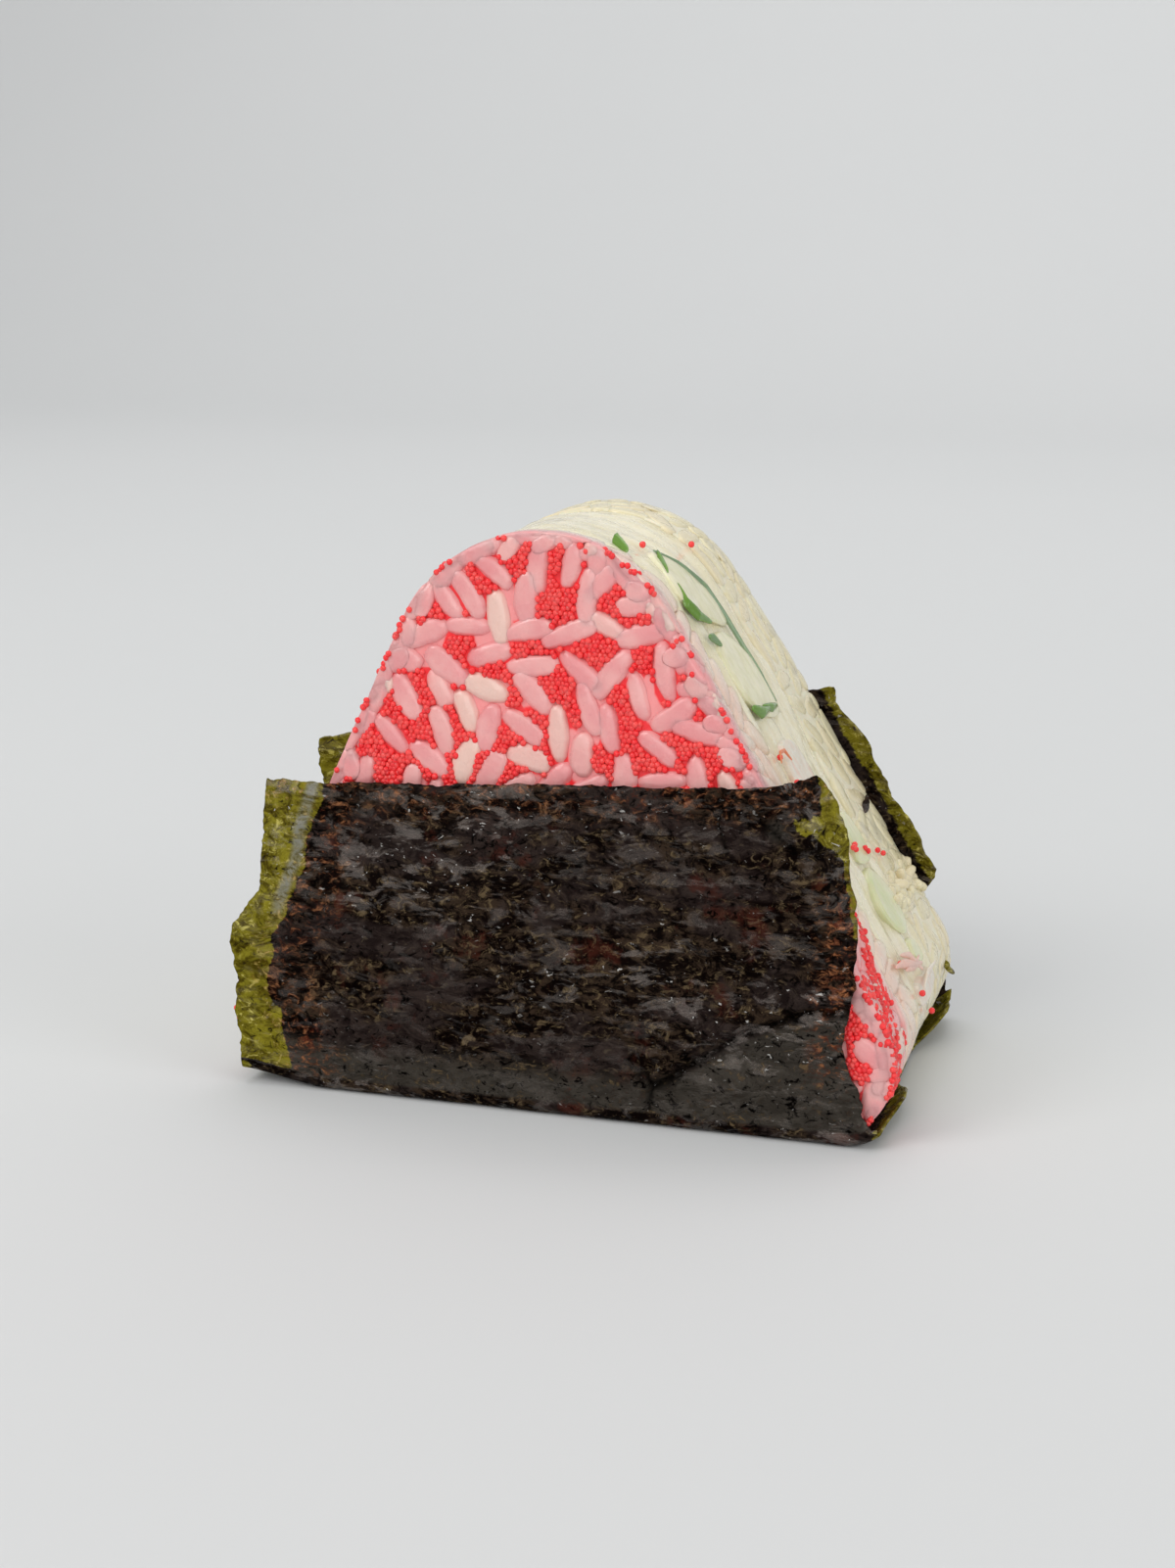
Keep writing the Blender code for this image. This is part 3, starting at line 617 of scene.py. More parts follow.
def settle(surface, spots, turns, lengths, clumps, width):
    """Pushes grains that lie flat on a surface apart until they lie side by side."""
    shares = np.linspace(-1.0, 1.0, 5)
    own = np.eye(len(spots))[:, None, :, None]
    reach = (lengths - width) / 2
    for _ in range(SETTLE_STEPS):
        runs = np.stack((np.cos(turns), np.sin(turns)), 1)
        arms = runs[:, None] * (reach[:, None] * shares)[..., None]
        dots = spots[:, None] + arms
        apart = dots[:, :, None, None] - dots[None, None]
        far = np.sqrt((apart ** 2).sum(-1)) + 1e-6
        push = np.clip(width - far, 0.0, None) / far * (1.0 - own)
        force = (apart * push[..., None]).sum((2, 3)) * 0.5
        for x, z, radius in clumps:
            away = dots - np.array((x, z))
            gap = np.sqrt((away ** 2).sum(-1, keepdims=True)) + 1e-6
            force += away / gap * np.clip(radius + width / 2 - gap, 0.0, None)
        force += surface.hem(dots.reshape(-1, 2), width * MARGIN).reshape(dots.shape)
        spots = spots + force.mean(1) * 0.9
        twist = (arms[..., 0] * force[..., 1] - arms[..., 1] * force[..., 0]).sum(1)
        turns = turns + np.clip(twist / (arms ** 2).sum((1, 2)) * 0.8, -0.3, 0.3)
    return spots, turns


def lay(surface, spacing, rng, keep, sink, size, clumps=(), tilt=0.05, width=GRAIN_WIDTH):
    """Grains spread over a surface, as (centre, along, outward, length, size)."""
    rise = spacing * cos(radians(30))
    spots = []
    for row in range(int((surface.high[1] - surface.low[1]) / rise) + 2):
        for column in range(int((surface.high[0] - surface.low[0]) / spacing) + 1):
            u = surface.low[0] + (column + 0.5 * (row % 2) + rng.uniform(-0.3, 0.3)) * spacing
            v = surface.low[1] + (row + rng.uniform(-0.3, 0.3)) * rise
            if keep(*surface.frame(u, v)[0]) and all(dist((u, v), (x, z)) > r for x, z, r in clumps):
                spots.append((u, v))
    lengths = np.array([GRAIN_LENGTH * size * rng.uniform(0.82, 1.14) for _ in spots])
    turns = np.array([rng.uniform(0.0, pi) for _ in spots])
    spots, turns = settle(surface, np.array(spots), turns, lengths, clumps, width)
    grains = []
    for (u, v), turn, length in zip(spots, turns, lengths):
        point, run, up, outward = surface.frame(u, v)
        along = run * cos(turn) + up * sin(turn) + outward * rng.uniform(-tilt, tilt)
        centre = point - outward * (GRAIN_DEPTH / 2 + rng.uniform(*sink))
        if centre.z > 0.0018:
            grains.append((centre, along.normalized(), outward, float(length), size))
    return grains


def add_grain(heap, rng, centre, along, outward, length, size, press, pale=0.0):
    """One cooked grain: a long ball, a little bent and uneven, pressed flat on an open face."""
    side = outward.cross(along).normalized()
    turn = Matrix((side, along.cross(side), along)).transposed().to_4x4()
    width = GRAIN_WIDTH * size * rng.uniform(0.86, 1.12)
    deep = GRAIN_DEPTH * min(size, 1.0) * rng.uniform(0.9, 1.1)
    scale = Matrix.Diagonal((width, deep, length, 1.0))
    bend = rng.uniform(-0.00045, 0.00045)
    skew = rng.uniform(-0.12, 0.12)
    phase = rng.uniform(0.0, 9.0)
    blunt = rng.uniform(-0.25, -0.12)
    place = Matrix.Translation(centre) @ turn

    def shape(vert):
        x, y, z = vert.co
        t = z / (length / 2)
        fat = (1.03 - t * t) ** blunt + skew * t + 0.05 * sin(6.0 * t + phase)
        vert.co = place @ Vector((x * fat + bend * (t * t - 0.4), y * fat, z))
        if press:
            press(vert)
    heap.add(GRAIN_SEGMENTS, GRAIN_RINGS, 0.5, scale, max(rng.random(), pale * rng.uniform(0.7, 1.0)), shape)


def pressed(open_face, facing):
    """Flattens what stands out of an open face or a slope, as the mould does."""
    lean = sqrt(1.0 + FACE_LEAN ** 2)

    def press(vert):
        x, y, z = vert.co
        depth = (y - open_face(x, z)) * -facing / lean
        if depth < FLUSH:
            vert.co.y += (FLUSH - depth) * PRESSED * -facing * lean
        c, s, past = max(((c, s, x * c + z * s - reach) for c, s, reach in SUPPORTS), key=lambda way: way[2])
        if past > -FLUSH:
            vert.co -= Vector((c, 0.0, s)) * (past + FLUSH) * PRESSED
    return press


def over_nori(top, slope, corner):
    """Whether a place on an open face shows over the nori, or past it at the right."""
    return lambda x, y, z: outside(x, z) < -0.0008 and (z > top + slope * x - 0.004 or x > corner)


front_shown = over_nori(FRONT_TOP_Z, FRONT_TOP_SLOPE, 0.0325)
back_shown = over_nori(BACK_TOP_Z, BACK_TOP_SLOPE, 1.0)


def frayed(slopes, rng):
    """Slim grain ends that stand out of the lower right slope, towards the back."""
    grains = []
    while len(grains) < FRAYED_GRAINS:
        u = rng.uniform(0.0, 0.036) + (slopes.step * FRAY_START if rng.random() < 0.12 else 0.0)
        point, run, rise, outward = slopes.frame(u, rng.uniform(0.004, 0.0245))
        x, y, z = point
        full = smooth(0.025, 0.016, z) * smooth(0.01, 0.02, y + 0.3 * z) * smooth(0.003, 0.007, z)
        if rng.random() > full or y > back_face(x, z) - 0.0008:
            continue
        turn = rng.uniform(0.0, 2.0 * pi)
        along = run * cos(turn) + rise * sin(turn) * 0.9 + outward * rng.uniform(0.3, 1.1)
        sunk = point - outward * rng.uniform(0.0005, 0.0014)
        grains.append((sunk, along.normalized(), outward))
    return grains


def rice(name, near, far, facing, shown, clumps, slot, seed):
    """The grains of one slab: pressed ones on its open face and on its slopes."""
    rng = random.Random(seed)
    open_face = near if facing < 0 else far
    press = pressed(open_face, facing)
    face, slopes = OpenFace(open_face, facing), Slopes(near, far)

    def between(x, y, z):
        return near(x, z) + 0.0006 < y < far(x, z) - 0.0006 and z > 0.001
    top = lay(face, 0.0038, rng, shown, (-0.0004, -0.0001), PRESSED_SIZE, clumps, 0.1, PRESSED_WIDTH)
    under = lay(face, 0.0045, rng, shown, (0.001, 0.0014), 1.1, clumps, 0.1)
    rim = outline(RIM_GRAINS, RIM_INSET)
    for i, (x, z) in enumerate(rim):
        run = Vector((x - rim[i - 1][0], 0.0, z - rim[i - 1][1])).normalized()
        out = Vector((run.z, 0.0, -run.x))
        back = Vector((0.0, facing, 0.0))
        along = run + (back - out) * rng.uniform(-1.6, 1.6)
        centre = Vector((x, open_face(x, z) - facing * RIM_INSET, z))
        if z > 0.0018 and shown(x * 0.97, 0.0, z - 0.002) and rng.random() < 0.75:
            top.append((centre, along.normalized(), (out + back).normalized(),
                        GRAIN_LENGTH * rng.uniform(0.85, 1.1), 1.0))
    grains = top + under
    grains += lay(slopes, 0.0044, rng, between, (-0.0005, -0.0003), 1.12)
    grains += lay(slopes, 0.0042, rng, between, (0.0002, 0.0005), 1.05)
    heap = Heap()
    for grain in grains:
        x, y, z = grain[0]
        pale = smooth(0.0095, 0.006, dist((x, z), (-0.0098, 0.0445))) * (facing < 0)
        add_grain(heap, rng, *grain, press, pale)
    if facing > 0:
        for centre, along, outward in frayed(slopes, rng):
            add_grain(heap, rng, centre, along, outward, GRAIN_LENGTH * rng.uniform(0.45, 0.75), 0.62, None)
    return new_piece(name, heap.whole, rice_finish(slot, facing < 0), slot), top


def pink_depth(x, z):
    """How much further back the pink reaches on the lower right slope."""
    return 0.0072 * smooth(0.036, 0.02, z) * smooth(0.0, 0.01, x)


def roe_share(x, z):
    """How full of roe a place on the pink face is, from 0 to 1."""
    full = smooth(0.36, 0.5, 0.5 + 0.5 * wave(x, 0.3, z, 0.006))
    for cx, cz, radius in CLUMPS:
        full = max(full, smooth(0.0008, 0.0001, dist((x, z), (cx, cz)) - radius))
    return full


def streak(y, z):
    """How full of roe the band down the right slope is, from 0 to 1."""
    gap = abs(y - along_table(STREAK, z)) / along_table(STREAK_WIDTH, z)
    return smooth(1.15, 0.75, gap + 0.7 * wave(0.0, y, z, 0.003)) * (z < STREAK[-1][0])


def roe_beads(grains):
    """Roe in the gaps between the pressed grains, and down the front of the slopes."""
    rng = random.Random(5)
    heap = Heap()

    def bead(point, radius):
        heap.add(ROE_SEGMENTS, ROE_RINGS, radius, Matrix.Translation(point), rng.random())

    centres, alongs, lengths = (np.array([grain[k] for grain in grains]) for k in (0, 1, 3))
    outward = Vector((0.0, -1.0, FACE_LEAN)).normalized()
    half = GRAIN_WIDTH * PRESSED_SIZE / 2

    def cover(point):
        """How far a place is from the nearest pressed grain's edge, in the face's plane."""
        away = np.array(point) - centres
        away -= np.outer(away @ np.array(outward), np.array(outward))
        run = (away * alongs).sum(1)
        reach = lengths / 2 - half
        past = run - np.clip(run, -reach, reach)
        across = away - run[:, None] * alongs
        return float(np.sqrt(past ** 2 + (across ** 2).sum(1)).min()) - half

    columns = int(0.046 / ROE_STEP)
    rise = ROE_STEP * cos(radians(30))
    for row in range(int(0.074 / rise)):
        for column in range(-columns, columns + 1):
            x = (column + 0.5 * (row % 2) + rng.uniform(-0.22, 0.22)) * ROE_STEP
            z = (row + rng.uniform(-0.22, 0.22)) * rise
            chance = rng.random()
            if outside(x, z) > -0.0006 or not front_shown(x, 0.0, z):
                continue
            point = Vector((x, front_face(x, z), z))
            full = roe_share(x, z)
            if cover(point) > 0.0001 - 0.00035 * full and chance < full * 1.3:
                bead(point - outward * rng.uniform(0.00022, 0.00046), ROE_RADIUS * rng.uniform(0.88, 1.12))
    # Roe along the front of both slopes
    edge = outline(360, 0.0)
    for i, (x, z) in enumerate(edge):
        if z < 0.0025:
            continue
        before = edge[i - 1]
        run = Vector((x - before[0], 0.0, z - before[1])).normalized()
        out = Vector((run.z, 0.0, -run.x))
        reach = 0.0007 + 0.0009 * wave(x, 0.7, z, 0.006) + pink_depth(x, z)
        for j in range(24):
            y = front_face(x, z) + ROE_STEP * max(j + rng.uniform(-0.5, 1.3), 0.2)
            fade = smooth(reach + 0.0004, reach - 0.0002, y - front_face(x, z))
            low, high = (0.46, 0.58) if y - front_face(x, z) < 0.0012 else (0.54, 0.64)
            full = fade * smooth(low, high, 0.5 + 0.5 * wave(x, y, z, 0.0042))
            if x > 0.0:
                full = max(full, streak(y, z))
            if rng.random() < full:
                spot = Vector((x, y, z)) - out * rng.uniform(0.00015, 0.0005)
                bead(spot + run * rng.uniform(-0.0003, 0.0003), ROE_RADIUS * rng.uniform(0.88, 1.08))
    for y, z in STRAYS:
        bead(Vector((slope_x(z, 1) + 0.0004, y, z)), ROE_RADIUS * rng.uniform(0.9, 1.05))
    return new_piece("roe", heap.whole, roe_finish(), "pink_rice")


def rice_core(name, near, far, slot, pink):
    """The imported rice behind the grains, with roe showing where it is thick on the pink face."""
    bm = slab(near, far, CORE_DEPTH if pink else CORE_DEPTH / 2, 200, 12, 0.0003, 26)
    roe, depth = floats(bm, "roe", "behind")
    for vert in bm.verts:
        x, y, z = vert.co
        if pink:
            vert[roe] = roe_share(x, z) if y < front_face(x, z) + 0.0012 else 0.3
            vert[depth] = y - front_face(x, z) - pink_depth(x, z)
        vert.co += vert.normal * 0.00012 * wave(x, y, z, 0.006)
        vert.co.z = max(vert.co.z, 0.0009)
    return new_piece(name, bm, core_finish(name, pink), slot)


def cream_fill():
    """The soft filling, smeared along the slopes."""
    bm = slab(shifted(front_seam, -0.0004), shifted(back_seam, 0.0006), 0.0006, 300, 26, 0.0002, 8)
    for vert in bm.verts:
        x, y, z = vert.co
        low = wave(x * 0.5, y * 1.8, z * 0.5, 0.0045)
        fine = wave(x * 0.7, y * 1.5, z, 0.0016)
        ridge = 1.0 - 2.0 * abs(wave(x * 0.35, y * 2.2, z * 0.35, 0.0034))
        vert.co += vert.normal * (0.0004 * low + 0.00012 * fine + 0.0002 * ridge)
        vert.co.z = max(vert.co.z, 0.0007)
    return new_piece("cream_fill", bm, cream_finish(), "cream")


def smooth_loop(section, count):
    """A section's corners as a closed, evenly rounded curve of points."""
    size = len(section)
    points = []
    for i in range(count):
        t = i * size / count
        k = int(t)
        f = t - k
        p = [Vector(section[(k + j - 1) % size]) for j in range(4)]
        curve = 0.5 * ((2 * p[1]) + (p[2] - p[0]) * f + (2 * p[0] - 5 * p[1] + 4 * p[2] - p[3]) * f * f
                       + (3 * p[1] - p[0] - 3 * p[2] + p[3]) * f * f * f)
        points.append(curve)
    return points


def stick(bm, section, layer, rule, proud, seed):
    """A strip from slope to slope with rounded, uneven cut ends."""
    loop = smooth_loop(section, 56)
    centre = sum(loop, Vector((0.0, 0.0))) / len(loop)
    rings = []
    shares = [0.08, 0.2, 0.32, 0.44, 0.54, 0.63, 0.71, 0.78, 0.84, 0.89, 0.93, 0.965, 0.99, 1.0, 1.0]
    for side in (1, -1):
        part = []
        for i, share in enumerate(shares):
            ring = []
            for point in loop:
                y, z = centre + (point - centre) * share
                edge = smooth(1.0, 0.88, share) if i < len(shares) - 1 else -1.5
                lift = proud * edge + 0.0002 * wave(y, z, seed, 0.0035)
                ring.append((slope_x(z, side) + side * lift, y, z))
            part.append(ring)
        rings += part if side > 0 else part[::-1]
    for vert, _ in skin(bm, rings):
        vert[layer] = rule(vert.co.y, vert.co.z)


def polyline_side(path, x, z):
    """Distance from a line of points, which side of it, and how far along it (0 to 1)."""
    best = (1.0, 1.0, 0.0)
    for k, ((ax, az), (bx, bz)) in enumerate(zip(path, path[1:])):
        dx, dz = bx - ax, bz - az
        t = min(max(((x - ax) * dx + (z - az) * dz) / (dx * dx + dz * dz), 0.0), 1.0)
        gap = hypot(x - ax - dx * t, z - az - dz * t)
        if gap < best[0]:
            side = 1.0 if dx * (z - az) - dz * (x - ax) > 0 else -1.0
            best = (gap, side, (k + t) / (len(path) - 1))
    return best


def sticks(name, mat, slot, value, rule, sections, proud, seed, shreds):
    """Sticks from slope to slope and shreds on the right slope, with one value for the material."""
    bm = bmesh.new()
    layer, = floats(bm, value)
    for number, section in enumerate(sections):
        stick(bm, section, layer, rule, proud, number + seed)
    for path, fat, shade, lift in shreds:
        shred(bm, layer, path, fat, shade, lift)
    bmesh.ops.recalc_face_normals(bm, faces=bm.faces)
    return new_piece(name, bm, mat, slot)


def peel_share(y, z):
    return 0.08 + 0.1 * wave(y, z, 5.0, 0.004) + 0.14 * smooth(0.04, 0.03, z)


def skin_share(y, z):
    return 0.3 * smooth(0.35, 0.75, 0.5 + 0.5 * wave(y * 3.0, 2.0, z, 0.003))


def shred(bm, layer, path, fat, shade, proud, flat=0.6):
    """A thin strip along points of the right slope, given as (y, z), tapering to both ends."""
    rings = []
    steps = 6 * (len(path) - 1)
    for step in range(steps + 1):
        t = step / steps * (len(path) - 1)
        k = min(int(t), len(path) - 2)
        y, z = Vector(path[k]).lerp(Vector(path[k + 1]), smooth(0.0, 1.0, t - k))
        size = fat * (0.25 + 0.75 * sin(pi * step / steps)) * (1.0 + 0.15 * wave(y, z, fat, 0.003))
        x, z = outline_near(z)
        rings.append([(x + proud + 0.0002 + size * flat * cos(a), y + size * sin(a) * 0.7,
                       z + size * sin(a)) for a in (k * pi / 4 for k in range(8))])
    for vert, _ in skin(bm, rings):
        vert[layer] = shade


def outline_near(z):
    """The right slope's point at a height, near the top its round shoulder."""
    top = APEX_Z + APEX_RADIUS - 0.0003
    return slope_x(min(z, top), 1), min(z, top)


# Nori

def curled(overhang, angle, radius):
    arc = radius * angle
    if overhang <= arc:
        return radius * sin(overhang / radius), radius * (1.0 - cos(overhang / radius))
    rest = overhang - arc
    out = radius * sin(angle) + rest * cos(angle)
    return out, radius * (1.0 - cos(angle)) + rest * sin(angle)


def panel_point(x, z, front):
    side = 1 if x > 0 else -1
    degrees, low, high, radius, past = CURLS[front, side]
    angle = radians(degrees) * smooth(low, high, z)
    start = abs(slope_x(max(z, FOOT_Z), side)) + past
    overhang = abs(x) - start
    turned = 0.0
    out = abs(x)
    if overhang > 0.0 and angle > 0.01:
        step, turned = curled(overhang, angle, radius)
        out = start + step
    ripple = 0.5 + 0.5 * wave(x, 0.2 if front else 0.4, z, NORI_WAVE_SIZE)
    away = NORI_OFFSET + NORI_WAVE * smooth(0.002, 0.008, z) * ripple - turned
    y = front_face(x, z) - away if front else back_face(x, z) + away
    return Vector((side * out, y, z)), overhang


def base_lift(x, y):
    flap = FLAP_RISE * max(0.0, (x - FLAP_START_X) / FLAP_LENGTH) ** 2
    corner = smooth(-CORNER_START_X, -CORNER_END_X, -x) * smooth(-CORNER_START_Y, -CORNER_END_Y, -y)
    return flap + CORNER_RISE * corner


def ragged(t, seed, size):
    """An uneven torn edge: a coarse drift with fine tatters on it."""
    coarse = wave(t, seed, 0.0, 0.006)
    fine = wave(t, seed, 1.0, 0.0014)
    tatter = wave(t, seed, 2.0, 0.0006)
    return size * (0.9 * coarse + 0.6 * fine + 0.45 * tatter)


def nori_point(across, along):
    """A point of the band's middle surface and how far it lies past the rice."""
    half = NORI_THICKNESS / 2
    base_y = BASE_DEPTH / 2 + NORI_OFFSET - NORI_FOLD
    row = along * BAND_ROWS
    fold_end = PANEL_ROWS + FOLD_ROWS
    front = row < BAND_ROWS / 2
    left_edge, right_edge, top, slope, seed = PANELS[front]
    row = min(row, BAND_ROWS - row)
    fold_z = NORI_FOLD + half
    if row <= PANEL_ROWS:
        rise = 1.0 - row / PANEL_ROWS
        level = fold_z + (top - fold_z) * rise
        left = along_table(left_edge, level) + ragged(level, seed, 0.0006)
        right = along_table(right_edge, level) + ragged(level, seed + 1.0, 0.0005)
        x = left + (right - left) * across
        peak = top + slope * x + ragged(x, seed + 2.0, 0.00035)
        if front:
            peak -= 0.003 * smooth(0.0335, 0.0375, x) ** 2
        z = fold_z + (peak - fold_z) * rise
        point, past = panel_point(x, z, front)
        foot_y = -BASE_DEPTH / 2 if front else BASE_DEPTH / 2
        point.z += base_lift(x, foot_y) * (1.0 - smooth(0.0, LIFT_FADE, z))
        return point, past, x, z, front
    left = left_edge[0][1]
    if row < fold_end:
        turn = (row - PANEL_ROWS) / FOLD_ROWS * pi / 2
        y = base_y + NORI_FOLD * cos(turn)
        z = half + NORI_FOLD * (1.0 - sin(turn))
    else:
        middle = (BAND_ROWS / 2 - row) / (BAND_ROWS / 2 - fold_end)
        y = base_y * middle
        z = half
        left += (BASE_LEFT_X - left) * (1.0 - middle)
    y = -y if front else y
    right = along_table(BASE_RIGHT_EDGE, y) + ragged(y, 5.0, 0.0006)
    left += ragged(y, 6.0, 0.0004)
    x = left + (right - left) * across
    past = abs(x) - 0.0395
    return Vector((x, y, z + base_lift(x, y))), past, x, z, front


def relief(x, z, front):
    """How far the sheet stands out (more than 0) or in at a place on a panel."""
    wide = wave(x * 0.6, 1.0 if front else 2.0, z * 1.6, 0.0058)
    fibre = wave(x * 0.55, 3.0, z * 2.0, 0.0026) + 0.6 * wave(x * 0.7, 4.0, z * 1.8, 0.0011)
    height = 0.0004 * wide + 0.00014 * fibre
    if not front:
        return height
    gap, side, t = polyline_side(LOWER_FOLD, x, z)
    ends = smooth(0.0, 0.12, t)
    if side > 0:
        height += ends * (0.0007 * bell(gap - 0.0018, 0.0012) - 0.0005 * bell(gap, 0.0006))
        crumple = wave(x, 5.0, z, 0.0016) * bell(gap - 0.0022, 0.0022)
        height += ends * 0.0008 * crumple
    else:
        height += ends * 0.0003 * bell(gap, 0.0009)
    gap, side, t = polyline_side(BASE_CRACK, x, z)
    height -= 0.0005 * bell(gap, 0.00028)
    height += side * 0.00022 * bell(gap, 0.0016)
    gap, side, t = polyline_side(TOP_SLIT, x, z)
    height -= 0.0006 * bell(gap, 0.00026) * (1.0 - smooth(0.6, 1.0, t))
    height += side * 0.00025 * bell(gap, 0.0022)
    gap, side, t = polyline_side(CORNER_FOLD, x, z)
    height += 0.0003 * side * bell(gap, 0.0014)
    upper = smooth(0.016, 0.024, z) * smooth(0.004, 0.02, x)
    height += 0.00055 * upper * wave(x * 0.45, 6.0, z * 1.7, 0.0026)
    return height


def nori_rows():
    """Places along the band, close on the panels and wider underneath."""
    folds = PANEL_ROWS + FOLD_ROWS
    ends = (0, PANEL_ROWS, folds, BAND_ROWS - folds, BAND_ROWS - PANEL_ROWS, BAND_ROWS)
    places = []
    for start, end, steps in zip(ends, ends[1:], (92, 6, 14, 6, 84)):
        places += [(start + (end - start) * i / steps) / BAND_ROWS for i in range(steps)]
    return places + [1.0]


def nori_sheet(mat):
    places = nori_rows()
    bm = bmesh.new()
    free, warm, painted_sheen, plain_painted_grey, crease_shade, gloss_and_painted_highlights = floats(bm, *NORI_VALUES)
    bmesh.ops.create_grid(bm, x_segments=NORI_COLUMNS, y_segments=len(places) - 1, size=0.5)
    heights = {}
    for vert in bm.verts:
        row = round((0.5 - vert.co.y) * (len(places) - 1))
        point, past, x, z, front = nori_point(vert.co.x + 0.5, places[row])
        panel = min(places[row], 1.0 - places[row]) < PANEL_ROWS / BAND_ROWS
        heights[vert] = relief(x, z, front) if panel else 0.00008 * wave(point.x, point.y, 9.0, 0.004)
        # Where the nori is glossier and where highlights are painted, more so on the upper right
        vert[gloss_and_painted_highlights] = 0.35 + 0.65 * smooth(0.45, 0.6, 0.5 + 0.5 * wave(x, 8.0, z, 0.012))
        if front and panel:
            gap, side, t = polyline_side(LOWER_FOLD, x, z)
            above_fold = smooth(0.0, 0.0012, gap) * (side < 0) * smooth(0.01, 0.016, x)
            # Smoother nori below the lower fold, along the bottom and in one patch, painted a lighter grey
            # as sheen
            vert[plain_painted_grey] = max(above_fold, smooth(0.008, 0.004, z),
                              smooth(0.0018, 0.0006, dist((x, z), (0.0275, 0.0378))))
            # Painted shade along the lower fold and the small folds
            vert[crease_shade] = max(bell(gap, 0.0005) * smooth(0.0, 0.1, t),
                               *(depth * bell(polyline_side(line, x, z)[0], width)
                                 for line, width, depth in SMALL_FOLDS))
            vert[gloss_and_painted_highlights] *= 0.3 + 0.7 * smooth(0.01, 0.022, z + 0.25 * x)
            uneven = 0.006 * wave(x, 9.0, z, 0.006) + 0.002 * wave(x, 9.5, z, 0.0015)
            past_olive, to_edge = x - along_table(LEFT_BACKLIT_EDGE, z), FRONT_RIGHT_EDGE[4][1] - x
            # free: where the loose nori is painted olive as backlight shining through it, on the left flap,
            # the top right corner and the right edge
            left = smooth(0.0008, -0.0008, past_olive + 0.2 * uneven)
            corner = smooth(0.003, 0.006, x - 0.0285 + uneven) * smooth(0.03, 0.036, z + uneven)
            vert[free] = max(left, corner, smooth(0.0016, 0.0004, to_edge) * smooth(0.022, 0.028, z))
            low_rim = smooth(0.0026, 0.0008, to_edge) * smooth(0.022, 0.027, z) * smooth(0.034, 0.031, z)
            vert[warm] = max(low_rim,
                             smooth(0.031, 0.0355, x) * smooth(0.034, 0.026, z) * smooth(0.006, 0.011, z),
                             smooth(0.0065, 0.001, abs(past_olive - 0.0022)) * 0.7,
                             smooth(0.006, 0.0, FRONT_TOP_Z + FRONT_TOP_SLOPE * x - z) * 0.8)
            # Painted sheen: grey highlight strip along the fold beside the olive flap
            vert[painted_sheen] = smooth(0.0011, 0.0004, abs(past_olive + 0.0012)) * smooth(0.021, 0.025, z)
        elif front:
            # Painted olive backlight where the sheet reaches past the rice
            vert[free] = smooth(0.0, 0.002, past)
        else:
            # Painted olive backlight where the sheet reaches past the rice
            vert[free] = smooth(-0.0015, 0.002, past)
        vert.co = point
    bmesh.ops.recalc_face_normals(bm, faces=bm.faces)
    bm.normal_update()
    if sum(vert.normal.y for vert in bm.verts if vert.co.y < -0.015) > 0:
        bmesh.ops.reverse_faces(bm, faces=bm.faces)
        bm.normal_update()
    for vert in bm.verts:
        vert.co += vert.normal * heights[vert]
        vert.co.z = max(vert.co.z, NORI_THICKNESS / 2)
    piece = new_piece("nori_sheet", bm, mat, "nori")
    thick = piece.modifiers.new("thickness", "SOLIDIFY")
    thick.thickness = NORI_THICKNESS
    thick.offset = 0.0
    return piece


def nori_bits(mat):
    """Two crumbs of nori on the right slope, near the back."""
    bm = bmesh.new()
    layers = floats(bm, *NORI_VALUES)
    # backlit_olive: how much of the painted olive backlight each crumb gets
    for place, turn, size, backlit_olive in (
            ((0.0317, 0.0165, 0.0322), (0.5, 0.5, 0.2), (0.001, 0.0034, 0.0004), 0.1),
            ((0.0434, 0.0172, 0.0102), (0.3, 0.4, 0.5), (0.0016, 0.0022, 0.0004), 1.0)):
        matrix = Matrix.LocRotScale(Vector(place), Euler(turn), Vector(size))
        ball = bmesh.ops.create_uvsphere(bm, u_segments=24, v_segments=12, radius=0.5, matrix=matrix)
        for vert in ball["verts"]:
            x, y, z = vert.co
            vert.co += (vert.co - Vector(place)) * 1.6 * wave(x, y, z, 0.0012)
            vert[layers[0]], vert[layers[5]] = backlit_olive, 0.5
    return new_piece("nori_bits", bm, mat, "nori")


def stage():
    """A pale sweep under and behind the food."""
    bm = bmesh.new()
    rings = []
    for x in (-5.0, 5.0):
        path = [(x, -5.0, 0.0), (x, 0.9, 0.0)]
        for step in range(1, 17):
            turn = step / 16 * pi / 2
            path.append((x, 0.9 + 0.7 * sin(turn), 0.7 * (1.0 - cos(turn))))
        path.append((x, 1.6, 2.6))
        verts = [bm.verts.new(point) for point in path]
        rings.append([bm.edges.new((a, b)) for a, b in zip(verts, verts[1:])])
    bmesh.ops.bridge_loops(bm, edges=rings[0] + rings[1])
    bmesh.ops.recalc_face_normals(bm, faces=bm.faces)
    paper = Finish("sweep", 0.8)
    paper.colour(paper.grade(paper.noise(1.5), 0.3, 0.7, (0.668, 0.682, 0.688), (0.68, 0.692, 0.698)))
    add_object("sweep", smooth_mesh("sweep", bm, paper.mat))


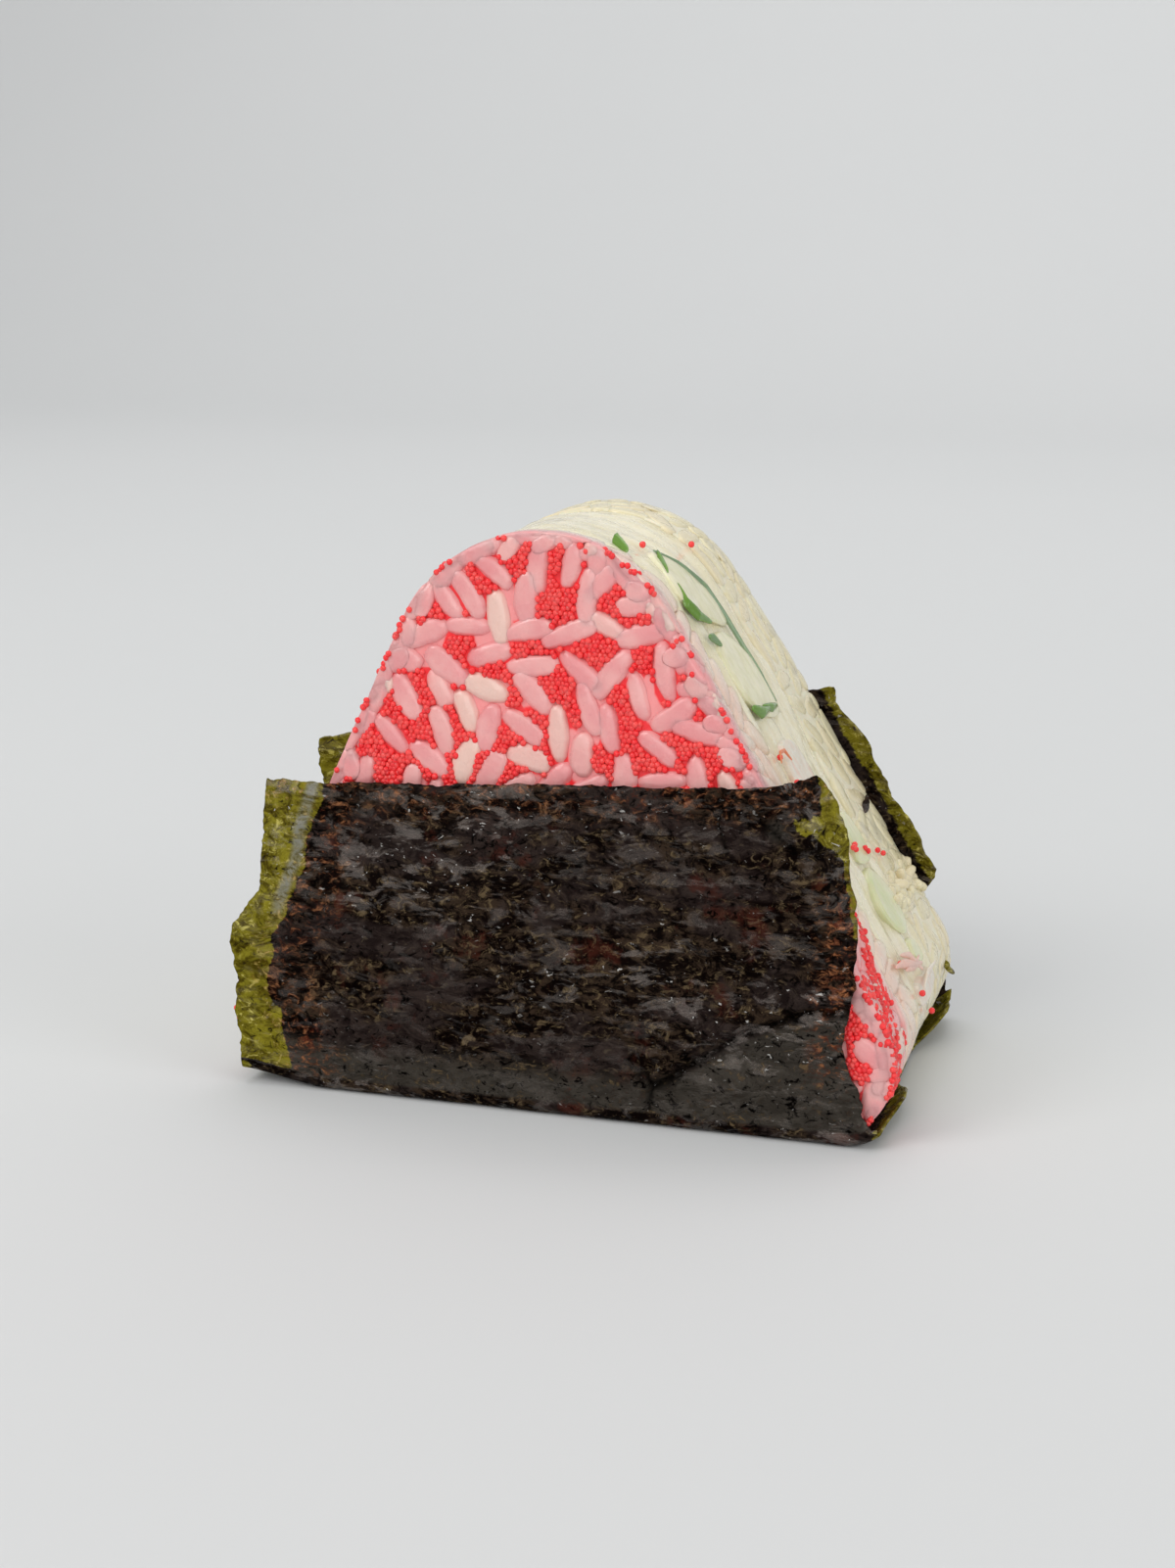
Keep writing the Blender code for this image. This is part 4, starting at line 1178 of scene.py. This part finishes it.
def lights():
    world = bpy.data.worlds.new("studio")
    bpy.context.scene.world = world
    world.use_nodes = True
    shade = world.node_tree.nodes["Background"]
    shade.inputs["Color"].default_value = (1.0, 1.0, 1.0, 1.0)
    shade.inputs["Strength"].default_value = 0.45
    for name, place, size, power, colour in (
            ("key", (-0.55, -0.6, 0.75), 0.5, 3.6, (1.0, 0.985, 0.965)),
            ("above", (-0.1, 0.2, 1.3), 1.0, 3.6, (1.0, 0.99, 0.98)),
            ("front", (0.25, -2.0, 0.85), 1.2, 10.2, (1.0, 0.99, 0.975)),
            ("side", (0.95, -0.25, 0.45), 0.6, 2.3, (1.0, 0.985, 0.96)),
            ("wall", (0.0, 0.6, 1.5), 1.2, 8.4, (1.0, 0.985, 0.975))):
        lamp = bpy.data.lights.new(name, "AREA")
        lamp.size, lamp.energy, lamp.color = size, power, colour
        obj = add_object(name, lamp)
        obj.location = place
        goal = Vector((0.0, 1.6, 0.9)) if name == "wall" else Vector((0.0, 0.0, 0.03))
        obj.rotation_euler = (goal - Vector(place)).to_track_quat("-Z", "Y").to_euler()


def camera():
    lens = bpy.data.cameras.new("camera")
    lens.lens, lens.sensor_width = 54.06, 36.0
    lens.clip_start, lens.clip_end = 0.01, 20.0
    obj = add_object("camera", lens)
    obj.location = (0.0833, -0.2882, 0.1098)
    obj.rotation_euler = (radians(76.3), 0.0, radians(16.6))
    bpy.context.scene.camera = obj


def dress():
    front_core = rice_core("pink_core", shifted(front_face, CORE_DEPTH), shifted(front_seam, 0.0002),
                           "pink_rice", True)
    back_core = rice_core("white_core", back_seam, shifted(back_face, -CORE_DEPTH), "white_rice", False)
    front_rice, face_grains = rice("pink_grains", front_face, front_seam, -1.0, front_shown, CLUMPS,
                                   "pink_rice", 21)
    back_rice, _ = rice("white_grains", back_seam, back_face, 1.0, back_shown, (), "white_rice", 22)
    roe = roe_beads(face_grains)
    for piece in (front_core, front_rice, roe):
        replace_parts(piece, "rice_front")
    for piece in (back_core, back_rice):
        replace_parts(piece, "rice_back")
    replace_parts(cream_fill(), "cream")
    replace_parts(sticks("cucumber_sticks", cucumber_finish(), "cucumber", "peel", peel_share,
                       CUCUMBER_SECTIONS, 0.00025, 0, PEEL_SHREDS),
                *["cucumber_%d" % n for n in range(1, 6)])
    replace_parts(sticks("crab_shreds", crab_finish(), "crab", "skin", skin_share, CRAB_SECTIONS, 0.0001, 9,
                       CRAB_SHREDS), "crab_1", "crab_2")
    nori = nori_finish()
    for piece in (nori_sheet(nori), nori_bits(nori)):
        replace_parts(piece, "nori")


camera()
lights()
stage()
dress()
bpy.context.scene.view_settings.view_transform = "Standard"
